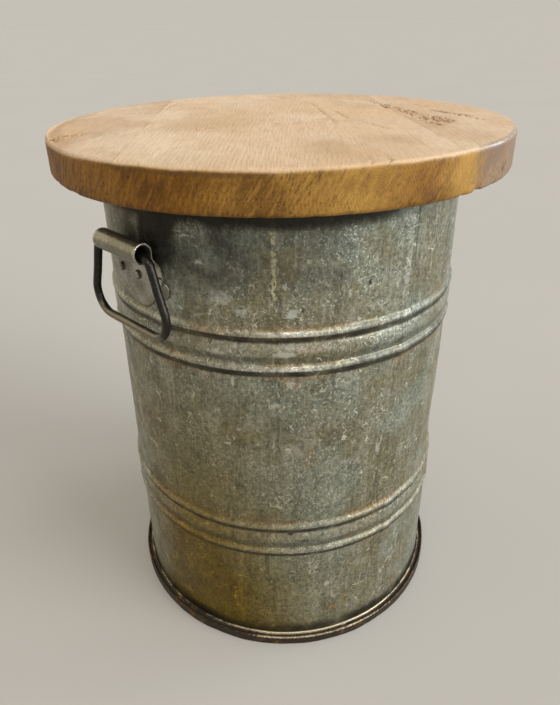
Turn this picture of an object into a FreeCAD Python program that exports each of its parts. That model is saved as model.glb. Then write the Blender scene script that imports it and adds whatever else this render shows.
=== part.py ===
"""Galvanised sheet-steel barrel with two bail handles, a steel foot ring and a plank lid.

Millimetres, +Z up, origin at the middle of the foot ring's underside. The handles stand on the
X axis. Each piece is drawn at azimuth zero, on the +X side, and its body is then turned about Z.
"""

import FreeCAD
import Part
import Sketcher
import math
import os
import re

SIZES = [
    ("wall_radius", 186.0, "outside of the plain barrel wall"),
    ("sheet", 1.2, "thickness of the galvanised sheet"),
    ("lower_band_height", 159.5, "middle of the lower swaged band"),
    ("upper_band_height", 386.5, "middle of the upper swaged band"),
    ("bead_width", 11.0, "height of one round bead along the wall"),
    ("bead_rise", 2.8, "how far a bead stands out of the wall"),
    ("belly_width", 24.0, "height of the shallow belly between two beads"),
    ("belly_rise", 2.2, "how far the belly stands out of the wall"),
    ("curl_bore", 3.0, "radius inside the rolled rim"),
    ("rim_height", 517.5, "middle of the rolled rim"),
    ("rim_wire_radius", 2.9, "wire that the rim is rolled round"),
    ("lap_start", 259.2, "azimuth where the sheet begins to lie double"),
    ("lap_angle", 5.0, "turn over which it lies double"),
    ("lap_low", 15.0, "bottom of the visible lap"),
    ("lap_high", 511.0, "top of the visible lap"),
    ("foot_radius", 195.0, "outside of the foot ring"),
    ("foot_bore", 178.0, "inner edge of the foot ring's web"),
    ("foot_rise", 12.5, "height of the foot ring"),
    ("foot_steel", 2.2, "thickness of the foot ring's steel"),
    ("foot_edge", 0.8, "rounding of the foot ring's two lips"),
    ("base_height", 17.2, "upper face of the bottom disc"),
    ("left_side", 180.0, "azimuth of the left handle"),
    ("right_side", 0.0, "azimuth of the right handle"),
    ("bracket_steel", 2.0, "thickness of a handle bracket"),
    ("knuckle_distance", 201.0, "knuckle axis from the barrel's axis"),
    ("knuckle_height", 474.0, "knuckle axis above the floor"),
    ("knuckle_radius", 9.8, "outside of the rolled knuckle"),
    ("knuckle_half", 33.0, "half the knuckle's length"),
    ("knuckle_back", 195.0, "where the strap reaches the knuckle, round its axis from outward"),
    ("knuckle_lip", -130.0, "where the rolled knuckle ends"),
    ("strap_foot_height", 456.0, "where the strap leaves the wall for the knuckle"),
    ("tongue_radius", 24.0, "round middle tongue of the bracket"),
    ("tongue_height", 435.5, "middle of that tongue"),
    ("lobe_radius", 9.0, "round side lobe of the bracket"),
    ("lobe_height", 434.5, "middle of a side lobe"),
    ("lobe_offset", 31.0, "side lobe from the middle of the bracket"),
    ("tab_start", 165.0, "inside the wall, where the bracket's tabs are drawn from"),
    ("tab_depth", 40.0, "depth of the tabs before they are trimmed to the plate"),
    ("trim_radius", 300.0, "outside of all that is trimmed off the tabs"),
    ("rivet_height", 443.0, "row of bracket rivets"),
    ("rivet_spread", 9.3, "turn between neighbouring rivets"),
    ("rivet_shank", 2.5, "radius of a rivet's shank"),
    ("rivet_head", 4.5, "radius of a rivet's domed head"),
    ("rivet_dome", 3.0, "rise of the outer head"),
    ("rivet_tail", 2.2, "rise of the head formed inside the barrel"),
    ("rivet_bite", 0.1, "how far the heads are drawn into the steel"),
    ("rod_radius", 4.0, "round bar of the bail"),
    ("rod_play", 0.3, "gap under the bail where it lies in its knuckle"),
    ("bail_drop", 74.5, "middle of the bail's grip below its pivot"),
    ("bail_top_half", 39.5, "half the bail's width at its pivot"),
    ("bail_flare", 20.5, "turn of each leg away from upright"),
    ("bail_top_bend", 8.0, "bend of the bar at the pivot"),
    ("bail_grip_bend", 22.0, "bend of the bar at the grip"),
    ("lid_radius", 230.0, "outside of the plank lid"),
    ("lid_base", 522.0, "underside of the lid"),
    ("lid_thickness", 36.5, "thickness of the planks"),
    ("lid_arris", 4.0, "rounding of the lid's edges"),
    ("lid_block", 280.0, "half the side of the blocks that part the planks"),
    ("lid_turn", -45.5, "turn of the plank direction from the Y axis"),
    ("left_joint", -131.6, "left plank joint from the middle of the lid"),
    ("right_joint", 127.4, "right plank joint from the middle of the lid"),
    ("left_joint_skew", 2.0, "turn of the left joint"),
    ("right_joint_skew", 4.7, "turn of the right joint"),
    ("batten_thickness", 22.0, "battens under the lid"),
    ("batten_half_width", 22.5, "half the width of a batten"),
    ("batten_offset", 65.0, "middle of a batten from the middle of the lid"),
    ("batten_reach", 182.0, "radius that the batten ends are sawn to"),
    ("screw_shank", 2.2, "radius of a batten screw"),
    ("screw_head", 4.4, "radius of its countersunk head"),
    ("screw_rise", 45.0, "length of the screw"),
    ("screw_point", 4.0, "length of the screw's point"),
    ("screw_first", -147.0, "outermost screw from the middle of the batten"),
    ("screw_run", 294.0, "distance from the first screw to the last"),
]
SCREWS_PER_BATTEN = 4
RIVETS_PER_BRACKET = 3

# The sketcher's numbers for the places on an edge
START, END, CENTRE = 1, 2, 3

document = FreeCAD.newDocument("planked_barrel")
sheet = document.addObject("Spreadsheet::Sheet", "Sizes")
for row, (alias, value, note) in enumerate(SIZES, start=1):
    sheet.set(f"A{row}", alias)
    sheet.set(f"B{row}", str(value))
    sheet.setAlias(f"B{row}", alias)
    sheet.set(f"C{row}", note)
document.recompute()


# ---------------------------------------------------------------- drawing helpers

def named(expression):
    """Sheet reference for each @alias, so that expressions stay short in this file."""
    return re.sub(r"@(\w+)", r"Sizes.\1", expression)


def number(expression):
    return float(sheet.evalExpression(named(expression)))


def bind(thing, prop, expression):
    thing.setExpression(prop, named(expression))


def new_body(name, turn=None):
    body = document.addObject("PartDesign::Body", name)
    body.Label = name
    body.AllowCompound = True
    if turn:
        body.Placement = FreeCAD.Placement(
            FreeCAD.Vector(0, 0, 0), FreeCAD.Rotation(FreeCAD.Vector(0, 0, 1), number(turn))
        )
        bind(body, "Placement.Rotation.Angle", turn)
    return body


def origin_feature(body, role):
    return next(feature for feature in body.Origin.OriginFeatures if feature.Role == role)


def new_sketch(body, name, role, shift=None):
    """Sketch on one of the body's own planes; shift is (offset coordinate, expression)."""
    sketch = body.newObject("Sketcher::SketchObject", name)
    sketch.AttachmentSupport = (origin_feature(body, role), [""])
    sketch.MapMode = "FlatFace"
    if shift:
        bind(sketch, "AttachmentOffset.Base." + shift[0], shift[1])
    return sketch


def arc_centre(start, end, radius, turn):
    """Centre of the arc under half a circle from start to end, turning left for +1."""
    chord = end - start
    reach = math.sqrt(max(radius * radius - chord.Length ** 2 / 4, 0.0))
    left = FreeCAD.Vector(-chord.y, chord.x, 0).normalize()
    return (start + end) / 2 + left * (reach * turn)


def hold(sketch, edge, place, across, up):
    """Fix one point of an edge at its two sheet distances from the sketch's origin."""
    for kind, expression in (("DistanceX", across), ("DistanceY", up)):
        rule = Sketcher.Constraint(kind, -1, 1, edge, place, number(expression))
        bind(sketch, f"Constraints[{sketch.addConstraint(rule)}]", expression)


def hold_radius(sketch, edge, radius):
    rule = sketch.addConstraint(Sketcher.Constraint("Radius", edge, number(radius)))
    bind(sketch, f"Constraints[{rule}]", radius)


def draw_path(sketch, corners):
    """Closed outline of lines and arcs, each corner held at its two sheet distances.

    A corner is (x, y) when a straight run leads to it and (x, y, radius, turn) when an arc does,
    with turn +1 to the left and -1 to the right.
    """
    points = [FreeCAD.Vector(number(corner[0]), number(corner[1]), 0) for corner in corners]
    ends = []
    for index, start in enumerate(points):
        following = (index + 1) % len(corners)
        end, target = points[following], corners[following]
        if len(target) == 2:
            edge = sketch.addGeometry(Part.LineSegment(start, end), False)
            ends.append((edge, START, END))
            continue
        radius, turn = number(target[2]), target[3]
        centre = arc_centre(start, end, radius, turn)
        first, last = (start, end) if turn > 0 else (end, start)
        angles = [math.atan2(point.y - centre.y, point.x - centre.x) for point in (first, last)]
        circle = Part.Circle(centre, FreeCAD.Vector(0, 0, 1), radius)
        edge = sketch.addGeometry(Part.ArcOfCircle(circle, *angles), False)
        ends.append((edge, START, END) if turn > 0 else (edge, END, START))
        hold_radius(sketch, edge, target[2])
    for index, (edge, near_end, far_end) in enumerate(ends):
        before = ends[index - 1]
        sketch.addConstraint(Sketcher.Constraint("Coincident", before[0], before[2], edge, near_end))
        hold(sketch, edge, near_end, *corners[index][:2])


def draw_circle(sketch, across, up, radius):
    centre = FreeCAD.Vector(number(across), number(up), 0)
    circle = Part.Circle(centre, FreeCAD.Vector(0, 0, 1), number(radius))
    edge = sketch.addGeometry(circle, False)
    hold(sketch, edge, CENTRE, across, up)
    hold_radius(sketch, edge, radius)


def draw_rectangle(sketch, left, low, right, high):
    draw_path(sketch, [(left, low), (right, low), (right, high), (left, high)])


def revolve(body, sketch, axis="V_Axis", angle="360"):
    solid = body.newObject("PartDesign::Revolution", sketch.Name + "_turned")
    solid.Profile = sketch
    solid.ReferenceAxis = (sketch, [axis])
    bind(solid, "Angle", angle)
    return solid


def pad(body, sketch, length, symmetric=False):
    solid = body.newObject("PartDesign::Pad", sketch.Name + "_padded")
    solid.Profile = sketch
    solid.Midplane = symmetric
    bind(solid, "Length", length)
    return solid


def cut_upward(body, sketch):
    """Pocket from the XY plane up through the whole body; it has to take some steel away."""
    document.recompute()
    before = body.Shape.Volume
    hollow = body.newObject("PartDesign::Pocket", sketch.Name + "_cut")
    hollow.Profile = sketch
    hollow.Type = "ThroughAll"
    hollow.Reversed = True
    document.recompute()
    if body.Shape.Volume > before - 1.0:
        raise RuntimeError(sketch.Name + " cuts nothing")


def combine(kind, name, shapes):
    result = document.addObject("Part::" + kind, name)
    result.Label = name
    if kind in ("Cut", "Common"):
        result.Base, result.Tool = shapes
    elif kind == "Compound":
        result.Links = shapes
    else:
        result.Shapes = shapes
    return result


# ---------------------------------------------------------------- barrel

def swell_radius(width, rise):
    """Radius of the arc that bulges by rise over a chord of width."""
    return f"({width} ^ 2 / 4 + {rise} ^ 2) / (2 * {rise})"


def band_swells(band_height):
    """Top and bottom heights and arc radius of each swell in a band, lowest first."""
    bead = swell_radius("@bead_width", "@bead_rise")
    belly = swell_radius("@belly_width", "@belly_rise")
    half = "@belly_width / 2"
    return [
        (f"{band_height} - {half} - @bead_width", f"{band_height} - {half}", bead),
        (f"{band_height} - {half}", f"{band_height} + {half}", belly),
        (f"{band_height} + {half}", f"{band_height} + {half} + @bead_width", bead),
    ]


def banded_wall(radius, low, high):
    """Corners of the wall's profile at a radius, going up from low to high over both bands."""
    corners = [(radius, low)]
    for band_height in ("@lower_band_height", "@upper_band_height"):
        swells = band_swells(band_height)
        corners.append((radius, swells[0][0]))
        corners += [(radius, top, arc, 1) for bottom, top, arc in swells]
    return corners + [(radius, high)]


def downward(corners):
    """The same profile walked the other way: each arc turns the other way too."""
    backward = []
    for index in range(len(corners) - 1, -1, -1):
        following = corners[index + 1] if index + 1 < len(corners) else ()
        arc = (following[2], -following[3]) if len(following) == 4 else ()
        backward.append(corners[index][:2] + arc)
    return backward


def rim_corner(reach, across, up):
    """Point of the rolled rim, by its place on a circle of the given reach."""
    return f"@wall_radius + @curl_bore + {across} * ({reach})", f"@rim_height + {up} * ({reach})"


def build_shell_blank():
    """Wall with both swaged bands, rolled outward round the wire at its mouth."""
    body = new_body("shell_blank")
    sketch = new_sketch(body, "shell_profile", "XZ_Plane")
    bore, skin = "@curl_bore", "@curl_bore + @sheet"
    outside = banded_wall("@wall_radius", "@foot_steel", "@rim_height")
    inside = banded_wall("@wall_radius - @sheet", "@foot_steel", "@rim_height")
    roll = [
        rim_corner(bore, 0, 1) + (bore, -1),
        rim_corner(bore, 1, 0) + (bore, -1),
        rim_corner(bore, 0, -1) + (bore, -1),
        rim_corner(skin, 0, -1),
        rim_corner(skin, 1, 0) + (skin, 1),
        rim_corner(skin, 0, 1) + (skin, 1),
    ]
    inside_down = downward(inside)
    inside_down[0] = inside_down[0] + (skin, 1)
    draw_path(sketch, outside + roll + inside_down)
    revolve(body, sketch)
    return body


def build_lap():
    """Strip where the sheet's end lies over its beginning, one sheet proud of the wall."""
    body = new_body("lap_strip", "@lap_start")
    sketch = new_sketch(body, "lap_profile", "XZ_Plane")
    outside = banded_wall("@wall_radius + @sheet", "@lap_low", "@lap_high")
    inside = banded_wall("@wall_radius - @sheet / 2", "@lap_low", "@lap_high")
    draw_path(sketch, outside + downward(inside))
    strip = revolve(body, sketch, angle="@lap_angle")
    strip.Reversed = True
    return body


def build_barrel(rivet_groups):
    skin = combine("MultiFuse", "shell_with_lap", [build_shell_blank(), build_lap()])
    drills = combine("Compound", "shell_drills", rivet_groups)
    shell = combine("Cut", "barrel_shell", (skin, drills))
    wire = document.addObject("Part::Torus", "rim_wire")
    bind(wire, "Radius1", "@wall_radius + @curl_bore")
    bind(wire, "Radius2", "@rim_wire_radius")
    bind(wire, "Placement.Base.z", "@rim_height")
    return [shell, wire]


def build_bottom_disc():
    """Flanged disc set up into the barrel, standing on the foot ring's web."""
    body = new_body("bottom_disc")
    sketch = new_sketch(body, "bottom_profile", "XZ_Plane")
    wall = "@wall_radius - @sheet"
    draw_path(sketch, [
        ("0", "@base_height - @sheet"),
        (f"{wall} - @sheet", "@base_height - @sheet"),
        (f"{wall} - @sheet", "@foot_steel"),
        (wall, "@foot_steel"),
        (wall, "@base_height"),
        ("0", "@base_height"),
    ])
    revolve(body, sketch)
    return body


def build_foot_ring():
    """Channel-shaped hoop: a web under the wall, a lip crimped on the wall and an outer lip."""
    body = new_body("foot_ring")
    sketch = new_sketch(body, "foot_profile", "XZ_Plane")
    lip = "@wall_radius + @foot_steel"
    groove = "@foot_radius - @foot_steel"
    shoulder = "@foot_rise - @foot_edge"
    draw_path(sketch, [
        ("@foot_bore", "0"),
        ("@foot_radius", "0"),
        ("@foot_radius", shoulder),
        ("@foot_radius - @foot_edge", "@foot_rise", "@foot_edge", 1),
        (f"{groove} + @foot_edge", "@foot_rise"),
        (groove, shoulder, "@foot_edge", 1),
        (groove, "@foot_steel"),
        (lip, "@foot_steel"),
        (lip, shoulder),
        (f"{lip} - @foot_edge", "@foot_rise", "@foot_edge", 1),
        ("@wall_radius", "@foot_rise"),
        ("@wall_radius", "@foot_steel"),
        ("@foot_bore", "@foot_steel"),
    ])
    revolve(body, sketch)
    return body


# ---------------------------------------------------------------- handles

def build_rivets(side):
    """One row of rivets: domed head outside, formed tail inside, the row centred on the side."""
    body = new_body(f"bracket_rivets_{side}", f"@{side}_side - @rivet_spread")
    sketch = new_sketch(body, f"rivet_profile_{side}", "XZ_Plane", ("y", "@rivet_height"))
    tail_seat = "@wall_radius - @sheet + @rivet_bite"
    head_seat = "@wall_radius + @bracket_steel - @rivet_bite"
    dome = swell_radius("(2 * @rivet_head)", "@rivet_dome")
    tail = swell_radius("(2 * @rivet_head)", "@rivet_tail")
    draw_path(sketch, [
        (f"{tail_seat} - @rivet_tail", "0", tail, 1),
        (f"{head_seat} + @rivet_dome", "0"),
        (head_seat, "@rivet_head", dome, 1),
        (head_seat, "@rivet_shank"),
        (tail_seat, "@rivet_shank"),
        (tail_seat, "@rivet_head"),
    ])
    rivet = revolve(body, sketch, axis="H_Axis")
    document.recompute()
    row = body.newObject("PartDesign::PolarPattern", f"rivet_row_{side}")
    row.Originals = [rivet]
    row.Axis = (origin_feature(body, "Z_Axis"), [""])
    row.Occurrences = RIVETS_PER_BRACKET
    bind(row, "Angle", f"@rivet_spread * {RIVETS_PER_BRACKET - 1}")
    body.Tip = row
    return body


def knuckle_corner(reach, degrees):
    return (
        f"@knuckle_distance + ({reach}) * cos({degrees})",
        f"@knuckle_height + ({reach}) * sin({degrees})",
    )


def build_bracket(side, rivets):
    """Plate with a tongue and two lobes, its top rolled outward into the bail's knuckle."""
    body = new_body(f"bracket_blank_{side}", f"@{side}_side")
    inside_wall = ("z", "@tab_start")

    root = new_sketch(body, f"root_outline_{side}", "YZ_Plane", inside_wall)
    draw_rectangle(root, "-@knuckle_half", "@lobe_height", "@knuckle_half", "@strap_foot_height")
    pad(body, root, "@tab_depth")
    tongue = new_sketch(body, f"tongue_outline_{side}", "YZ_Plane", inside_wall)
    draw_circle(tongue, "0", "@tongue_height", "@tongue_radius")
    pad(body, tongue, "@tab_depth")
    for hand, offset in (("near", "-@lobe_offset"), ("far", "@lobe_offset")):
        lobe = new_sketch(body, f"lobe_outline_{hand}_{side}", "YZ_Plane", inside_wall)
        draw_circle(lobe, offset, "@lobe_height", "@lobe_radius")
        pad(body, lobe, "@tab_depth")

    trim = new_sketch(body, f"plate_trim_{side}", "XY_Plane")
    draw_circle(trim, "0", "0", "@wall_radius + @bracket_steel")
    draw_circle(trim, "0", "0", "@trim_radius")
    cut_upward(body, trim)

    strap = new_sketch(body, f"strap_profile_{side}", "XZ_Plane")
    skin, bore = "@knuckle_radius", "@knuckle_radius - @bracket_steel"
    outer_face = "@wall_radius + @bracket_steel"
    draw_path(strap, [
        ("@wall_radius - 2 * @bracket_steel", "@rivet_height + 2 * @rivet_head"),
        (outer_face, "@rivet_height + 2 * @rivet_head"),
        (outer_face, "@strap_foot_height"),
        knuckle_corner(bore, "@knuckle_back"),
        knuckle_corner(bore, 90) + (bore, -1),
        knuckle_corner(bore, 0) + (bore, -1),
        knuckle_corner(bore, -90) + (bore, -1),
        knuckle_corner(bore, "@knuckle_lip") + (bore, -1),
        knuckle_corner(skin, "@knuckle_lip"),
        knuckle_corner(skin, -90) + (skin, 1),
        knuckle_corner(skin, 0) + (skin, 1),
        knuckle_corner(skin, 90) + (skin, 1),
        knuckle_corner(skin, "@knuckle_back") + (skin, 1),
    ])
    pad(body, strap, "2 * @knuckle_half", symmetric=True)

    wall = new_sketch(body, f"wall_trim_{side}", "XY_Plane")
    draw_circle(wall, "0", "0", "@wall_radius")
    cut_upward(body, wall)
    return combine("Cut", f"handle_bracket_{side}", (body, rivets))


def build_bail(side):
    """Closed bar, level in the knuckle, legs flaring down to a wider grip."""
    body = new_body(f"bail_{side}", f"@{side}_side")
    pivot = "(@knuckle_height - @knuckle_radius + @bracket_steel + @rod_radius + @rod_play)"
    grip = f"({pivot} - @bail_drop)"
    grip_half = "(@bail_top_half + @bail_drop * tan(@bail_flare))"
    top_cut = "(@bail_top_bend * tan(45 - @bail_flare / 2))"
    grip_cut = "(@bail_grip_bend * tan(45 + @bail_flare / 2))"
    right_half = [
        (f"@bail_top_half - {top_cut}", pivot),
        (f"@bail_top_half + {top_cut} * sin(@bail_flare)",
         f"{pivot} - {top_cut} * cos(@bail_flare)", "@bail_top_bend", -1),
        (f"{grip_half} - {grip_cut} * sin(@bail_flare)",
         f"{grip} + {grip_cut} * cos(@bail_flare)"),
        (f"{grip_half} - {grip_cut}", grip, "@bail_grip_bend", -1),
    ]
    left_half = [("-(" + corner[0] + ")",) + corner[1:] for corner in downward(right_half)]
    left_half = [corner[:3] + (-1,) if len(corner) == 4 else corner for corner in left_half]
    spine = new_sketch(body, f"bail_line_{side}", "YZ_Plane", ("z", "@knuckle_distance"))
    draw_path(spine, [("0", pivot)] + right_half + left_half)
    section = new_sketch(body, f"bail_section_{side}", "XZ_Plane")
    draw_circle(section, "@knuckle_distance", pivot, "@rod_radius")
    document.recompute()
    bar = body.newObject("PartDesign::AdditivePipe", f"bail_bar_{side}")
    bar.Profile = section
    bar.Spine = spine
    return body


def build_handle(side):
    rivets = build_rivets(side)
    return [rivets, build_bracket(side, rivets), build_bail(side)]


# ---------------------------------------------------------------- lid

def block(name, turn, across, along, base, height):
    """Plain block of the lid, drawn along the planks and turned with them."""
    body = new_body(name, turn)
    sketch = new_sketch(body, name + "_outline", "XY_Plane", ("z", base))
    draw_rectangle(sketch, across[0], along[0], across[1], along[1])
    pad(body, sketch, height)
    return body


def build_screws(name, offset):
    """Countersunk screws driven up through one batten, a row along the batten."""
    body = new_body(name, "@lid_turn")
    sketch = new_sketch(body, name + "_profile", "XZ_Plane", ("z", f"-({offset})"))
    foot = "@lid_base - @batten_thickness"
    draw_path(sketch, [
        ("0", foot),
        ("@screw_head", foot),
        ("@screw_shank", f"{foot} + @screw_head - @screw_shank"),
        ("@screw_shank", f"{foot} + @screw_rise - @screw_point"),
        ("0", f"{foot} + @screw_rise"),
    ])
    bind(sketch, "AttachmentOffset.Base.x", "@screw_first")
    screw = revolve(body, sketch)
    document.recompute()
    row = body.newObject("PartDesign::LinearPattern", name + "_row")
    row.Originals = [screw]
    row.Direction = (origin_feature(body, "X_Axis"), [""])
    row.Occurrences = SCREWS_PER_BATTEN
    bind(row, "Length", "@screw_run")
    body.Tip = row
    return body


def build_lid():
    disc = new_body("lid_disc")
    outline = new_sketch(disc, "lid_outline", "XY_Plane", ("z", "@lid_base"))
    draw_circle(outline, "0", "0", "@lid_radius")
    slab = pad(disc, outline, "@lid_thickness")
    document.recompute()
    rims = [
        f"Edge{index}" for index, edge in enumerate(slab.Shape.Edges, start=1)
        if isinstance(edge.Curve, Part.Circle)
    ]
    arris = disc.newObject("PartDesign::Fillet", "lid_arris")
    arris.Base = (slab, rims)
    bind(arris, "Radius", "@lid_arris")

    reach = ("-@lid_block", "@lid_block")
    depth = ("@lid_base", "@lid_thickness")
    left = block("left_of_joint", "@lid_turn + @left_joint_skew",
                 (reach[0], "@left_joint"), reach, *depth)
    right = block("right_of_joint", "@lid_turn + @right_joint_skew",
                  ("@right_joint", reach[1]), reach, *depth)
    outer_planks = combine("MultiFuse", "outer_planks", [left, right])
    blanks = {
        "left": combine("Common", "left_plank_blank", (disc, left)),
        "middle": combine("Cut", "middle_plank_blank", (disc, outer_planks)),
        "right": combine("Common", "right_plank_blank", (disc, right)),
    }

    nodes = []
    screw_rows = []
    for place, sign in (("front", "-"), ("back", "+")):
        middle = f"{sign}@batten_offset"
        screws = build_screws(f"batten_screws_{place}", f"({middle})")
        bar = block(f"batten_bar_{place}", "@lid_turn", reach,
                    (f"{middle} - @batten_half_width", f"{middle} + @batten_half_width"),
                    "@lid_base - @batten_thickness", "@batten_thickness")
        ends = document.addObject("Part::Cylinder", f"batten_ends_{place}")
        bind(ends, "Radius", "@batten_reach")
        bind(ends, "Height", "@lid_base + @lid_thickness")
        sawn = combine("Common", f"batten_sawn_{place}", (bar, ends))
        nodes.append(combine("Cut", f"lid_batten_{place}", (sawn, screws)))
        nodes.append(screws)
        screw_rows.append(screws)
    all_screws = combine("Compound", "plank_drills", screw_rows)
    for place, blank in blanks.items():
        nodes.append(combine("Cut", f"lid_board_{place}", (blank, all_screws)))
    return nodes


# ---------------------------------------------------------------- assembly

handles = build_handle("left") + build_handle("right")
rivet_groups = [piece for piece in handles if piece.Label.startswith("bracket_rivets")]
pieces = build_barrel(rivet_groups) + [build_bottom_disc(), build_foot_ring()]
pieces += handles + build_lid()
document.recompute()

for item in document.Objects:
    if "Invalid" in item.State or "Error" in item.State:
        raise RuntimeError(f"{item.Label} did not recompute: {item.State}")
for piece in pieces:
    if piece.Shape.isNull() or not piece.Shape.isValid():
        raise RuntimeError(f"{piece.Label} has no valid shape")

os.makedirs("parts", exist_ok=True)
for piece in pieces:
    piece.Shape.exportStep(f"parts/{piece.Label}.step")
    box = piece.Shape.BoundBox
    print(
        f"{piece.Label:24s} solids {len(piece.Shape.Solids)} volume {piece.Shape.Volume:12.1f} "
        f"x {box.XMin:7.1f} {box.XMax:7.1f} y {box.YMin:7.1f} {box.YMax:7.1f} "
        f"z {box.ZMin:6.1f} {box.ZMax:6.1f}"
    )
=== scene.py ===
"""Looks of the galvanised barrel with the plank lid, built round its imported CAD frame.

Metres, in the CAD frame. Sizes that belong to the object are written in millimetres and turned
into metres with MM. Azimuths are degrees about +Z from +X, and the planks run along local Y of a
lid frame that is turned by LID_TURN.
"""
import itertools
import math
from functools import partial

import bpy
import numpy as np
from mathutils import Matrix, Vector
from mathutils.geometry import delaunay_2d_cdt


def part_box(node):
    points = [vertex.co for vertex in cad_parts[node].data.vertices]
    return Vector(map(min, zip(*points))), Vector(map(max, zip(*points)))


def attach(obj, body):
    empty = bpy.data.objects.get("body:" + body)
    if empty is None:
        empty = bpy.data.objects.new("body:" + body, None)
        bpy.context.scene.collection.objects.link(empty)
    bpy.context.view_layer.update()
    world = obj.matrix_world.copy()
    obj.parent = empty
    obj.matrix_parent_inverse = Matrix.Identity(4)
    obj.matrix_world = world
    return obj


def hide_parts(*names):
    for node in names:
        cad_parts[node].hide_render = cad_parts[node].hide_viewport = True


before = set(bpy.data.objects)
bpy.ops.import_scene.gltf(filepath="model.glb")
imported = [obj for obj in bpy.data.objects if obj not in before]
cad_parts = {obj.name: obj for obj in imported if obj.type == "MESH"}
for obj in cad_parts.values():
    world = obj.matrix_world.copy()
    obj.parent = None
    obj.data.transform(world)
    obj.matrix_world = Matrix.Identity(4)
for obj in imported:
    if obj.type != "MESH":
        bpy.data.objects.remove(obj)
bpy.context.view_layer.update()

MM = 0.001
SIDES = {"left": 180.0, "right": 0.0}

# Barrel
SHEET = 1.2 * MM
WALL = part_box("bottom_disc")[1].x + SHEET
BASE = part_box("bottom_disc")[0].z
BANDS = (159.5 * MM, 386.5 * MM)
BEAD_WIDTH, BEAD_RISE = 11.0 * MM, 2.8 * MM
BELLY_WIDTH, BELLY_RISE = 24.0 * MM, 2.2 * MM
CURL_BORE = 3.0 * MM
RIM = (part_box("rim_wire")[0].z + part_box("rim_wire")[1].z) / 2
LAP_START, LAP_END = 259.2, 264.2
LAP_LOW, LAP_HIGH = 15.0 * MM, 511.0 * MM
STREAK = 222.6

# Foot ring
FOOT_BORE, FOOT_RADIUS = 178.0 * MM, 195.0 * MM
FOOT_RISE, FOOT_STEEL = 12.5 * MM, 2.6 * MM
DIRT = 10.4 * MM

# Handles
BRACKET_STEEL = 2.0 * MM
KNUCKLE_OUT, KNUCKLE_UP, KNUCKLE_RADIUS = 201.0 * MM, 474.0 * MM, 9.8 * MM
KNUCKLE_HALF = 33.0 * MM
STRAP_FOOT = 456.0 * MM
TONGUE_RADIUS, TONGUE_UP = 24.0 * MM, 435.5 * MM
LOBE_RADIUS, LOBE_UP, LOBE_OFFSET = 9.0 * MM, 434.5 * MM, 31.0 * MM
RIVET_UP, RIVET_SPREAD = 443.0 * MM, 9.3
RIVET_HEAD, RIVET_DOME, RIVET_TAIL, RIVET_SHANK = 4.5 * MM, 3.0 * MM, 2.2 * MM, 2.5 * MM
ROD = 4.0 * MM
BAIL_PIVOT, BAIL_DROP = 470.5 * MM, 74.5 * MM
BAIL_TOP_HALF, BAIL_FLARE = 39.5 * MM, math.radians(20.5)
BAIL_TOP_BEND, BAIL_GRIP_BEND = 8.0 * MM, 22.0 * MM

# Lid
LID_TURN = math.radians(-45.5)
LID_LOW, LID_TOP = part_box("lid_board_middle")[0].z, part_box("lid_board_middle")[1].z
LID_RADIUS = 230.0 * MM
ARRIS, JOINT_ARRIS, JOINT_GAP = 4.5 * MM, 0.18 * MM, 0.03 * MM
LEFT_JOINT = (math.radians(2.0), -131.6 * MM)
RIGHT_JOINT = (math.radians(4.7), 127.4 * MM)
BATTEN_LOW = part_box("lid_batten_front")[0].z
BATTEN_REACH, BATTEN_OFFSET, BATTEN_HALF = 182.0 * MM, 65.0 * MM, 22.5 * MM


# ------------------------------------------------------------------ numbers

def smoothstep(low, high, value):
    part = np.clip((value - low) / (high - low), 0.0, 1.0)
    return part * part * (3.0 - 2.0 * part)


def lattice_noise(points, size, seed):
    """Smooth noise in [-1, 1] at points (n x 3), its features about size across."""
    period = 32
    grid = np.random.default_rng(seed).uniform(-1, 1, (period,) * 3)
    scaled = np.asarray(points) / np.asarray(size)
    base = np.floor(scaled).astype(int)
    part = scaled - base
    part = part * part * (3 - 2 * part)
    total = np.zeros(len(scaled))
    for corner in itertools.product((0, 1), repeat=3):
        weight = np.prod(np.where(corner, part, 1 - part), axis=1)
        cell = (base + corner) % period
        total += weight * grid[cell[:, 0], cell[:, 1], cell[:, 2]]
    return total


def window(value, start, full, fading, end):
    """Rises from start to full and falls from fading to end."""
    return smoothstep(start, full, value) * smoothstep(end, fading, value)


def strip(value, middle, full, faded):
    """1 within full of the middle, and 0 beyond faded."""
    return 1 - smoothstep(full, faded, np.abs(value - middle))


def bell(value, middle, half):
    return np.exp(-((value - middle) / half) ** 2)


def bells(value, marks):
    """Sum of bells, each (middle, half width, strength)."""
    return sum(strength * bell(value, middle, half) for middle, half, strength in marks)


def patches(points, size, seed):
    """Smooth noise in [0, 1]."""
    return 0.5 + 0.5 * lattice_noise(points, size, seed)


def unit(vectors):
    return vectors / np.linalg.norm(vectors, axis=1)[:, None]


def around(radius, degrees, height):
    """Points at azimuths on a cylinder."""
    angle = np.radians(degrees)
    return np.stack(np.broadcast_arrays(radius * np.cos(angle), radius * np.sin(angle), height), -1)


def azimuth_of(points):
    return np.degrees(np.arctan2(points[:, 1], points[:, 0])) % 360


def degrees_aside(azimuth, place):
    """Degrees from a place round to each azimuth, from -180 to 180."""
    return (azimuth - place + 180) % 360 - 180


def wall_aside(azimuth, place):
    """The same, in millimetres along the wall."""
    return np.radians(degrees_aside(azimuth, place)) * WALL / MM


def turned(points, angle):
    """Points (n x 3) turned about Z."""
    cos, sin = math.cos(angle), math.sin(angle)
    return points @ np.array([[cos, sin, 0], [-sin, cos, 0], [0, 0, 1]])


def arc_points(centre, radius, first, last, count):
    """Points on a circle from the first to the last angle in degrees."""
    angle = np.radians(np.linspace(first, last, count))
    return np.stack([centre[0] + radius * np.cos(angle), centre[1] + radius * np.sin(angle)], -1)


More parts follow.
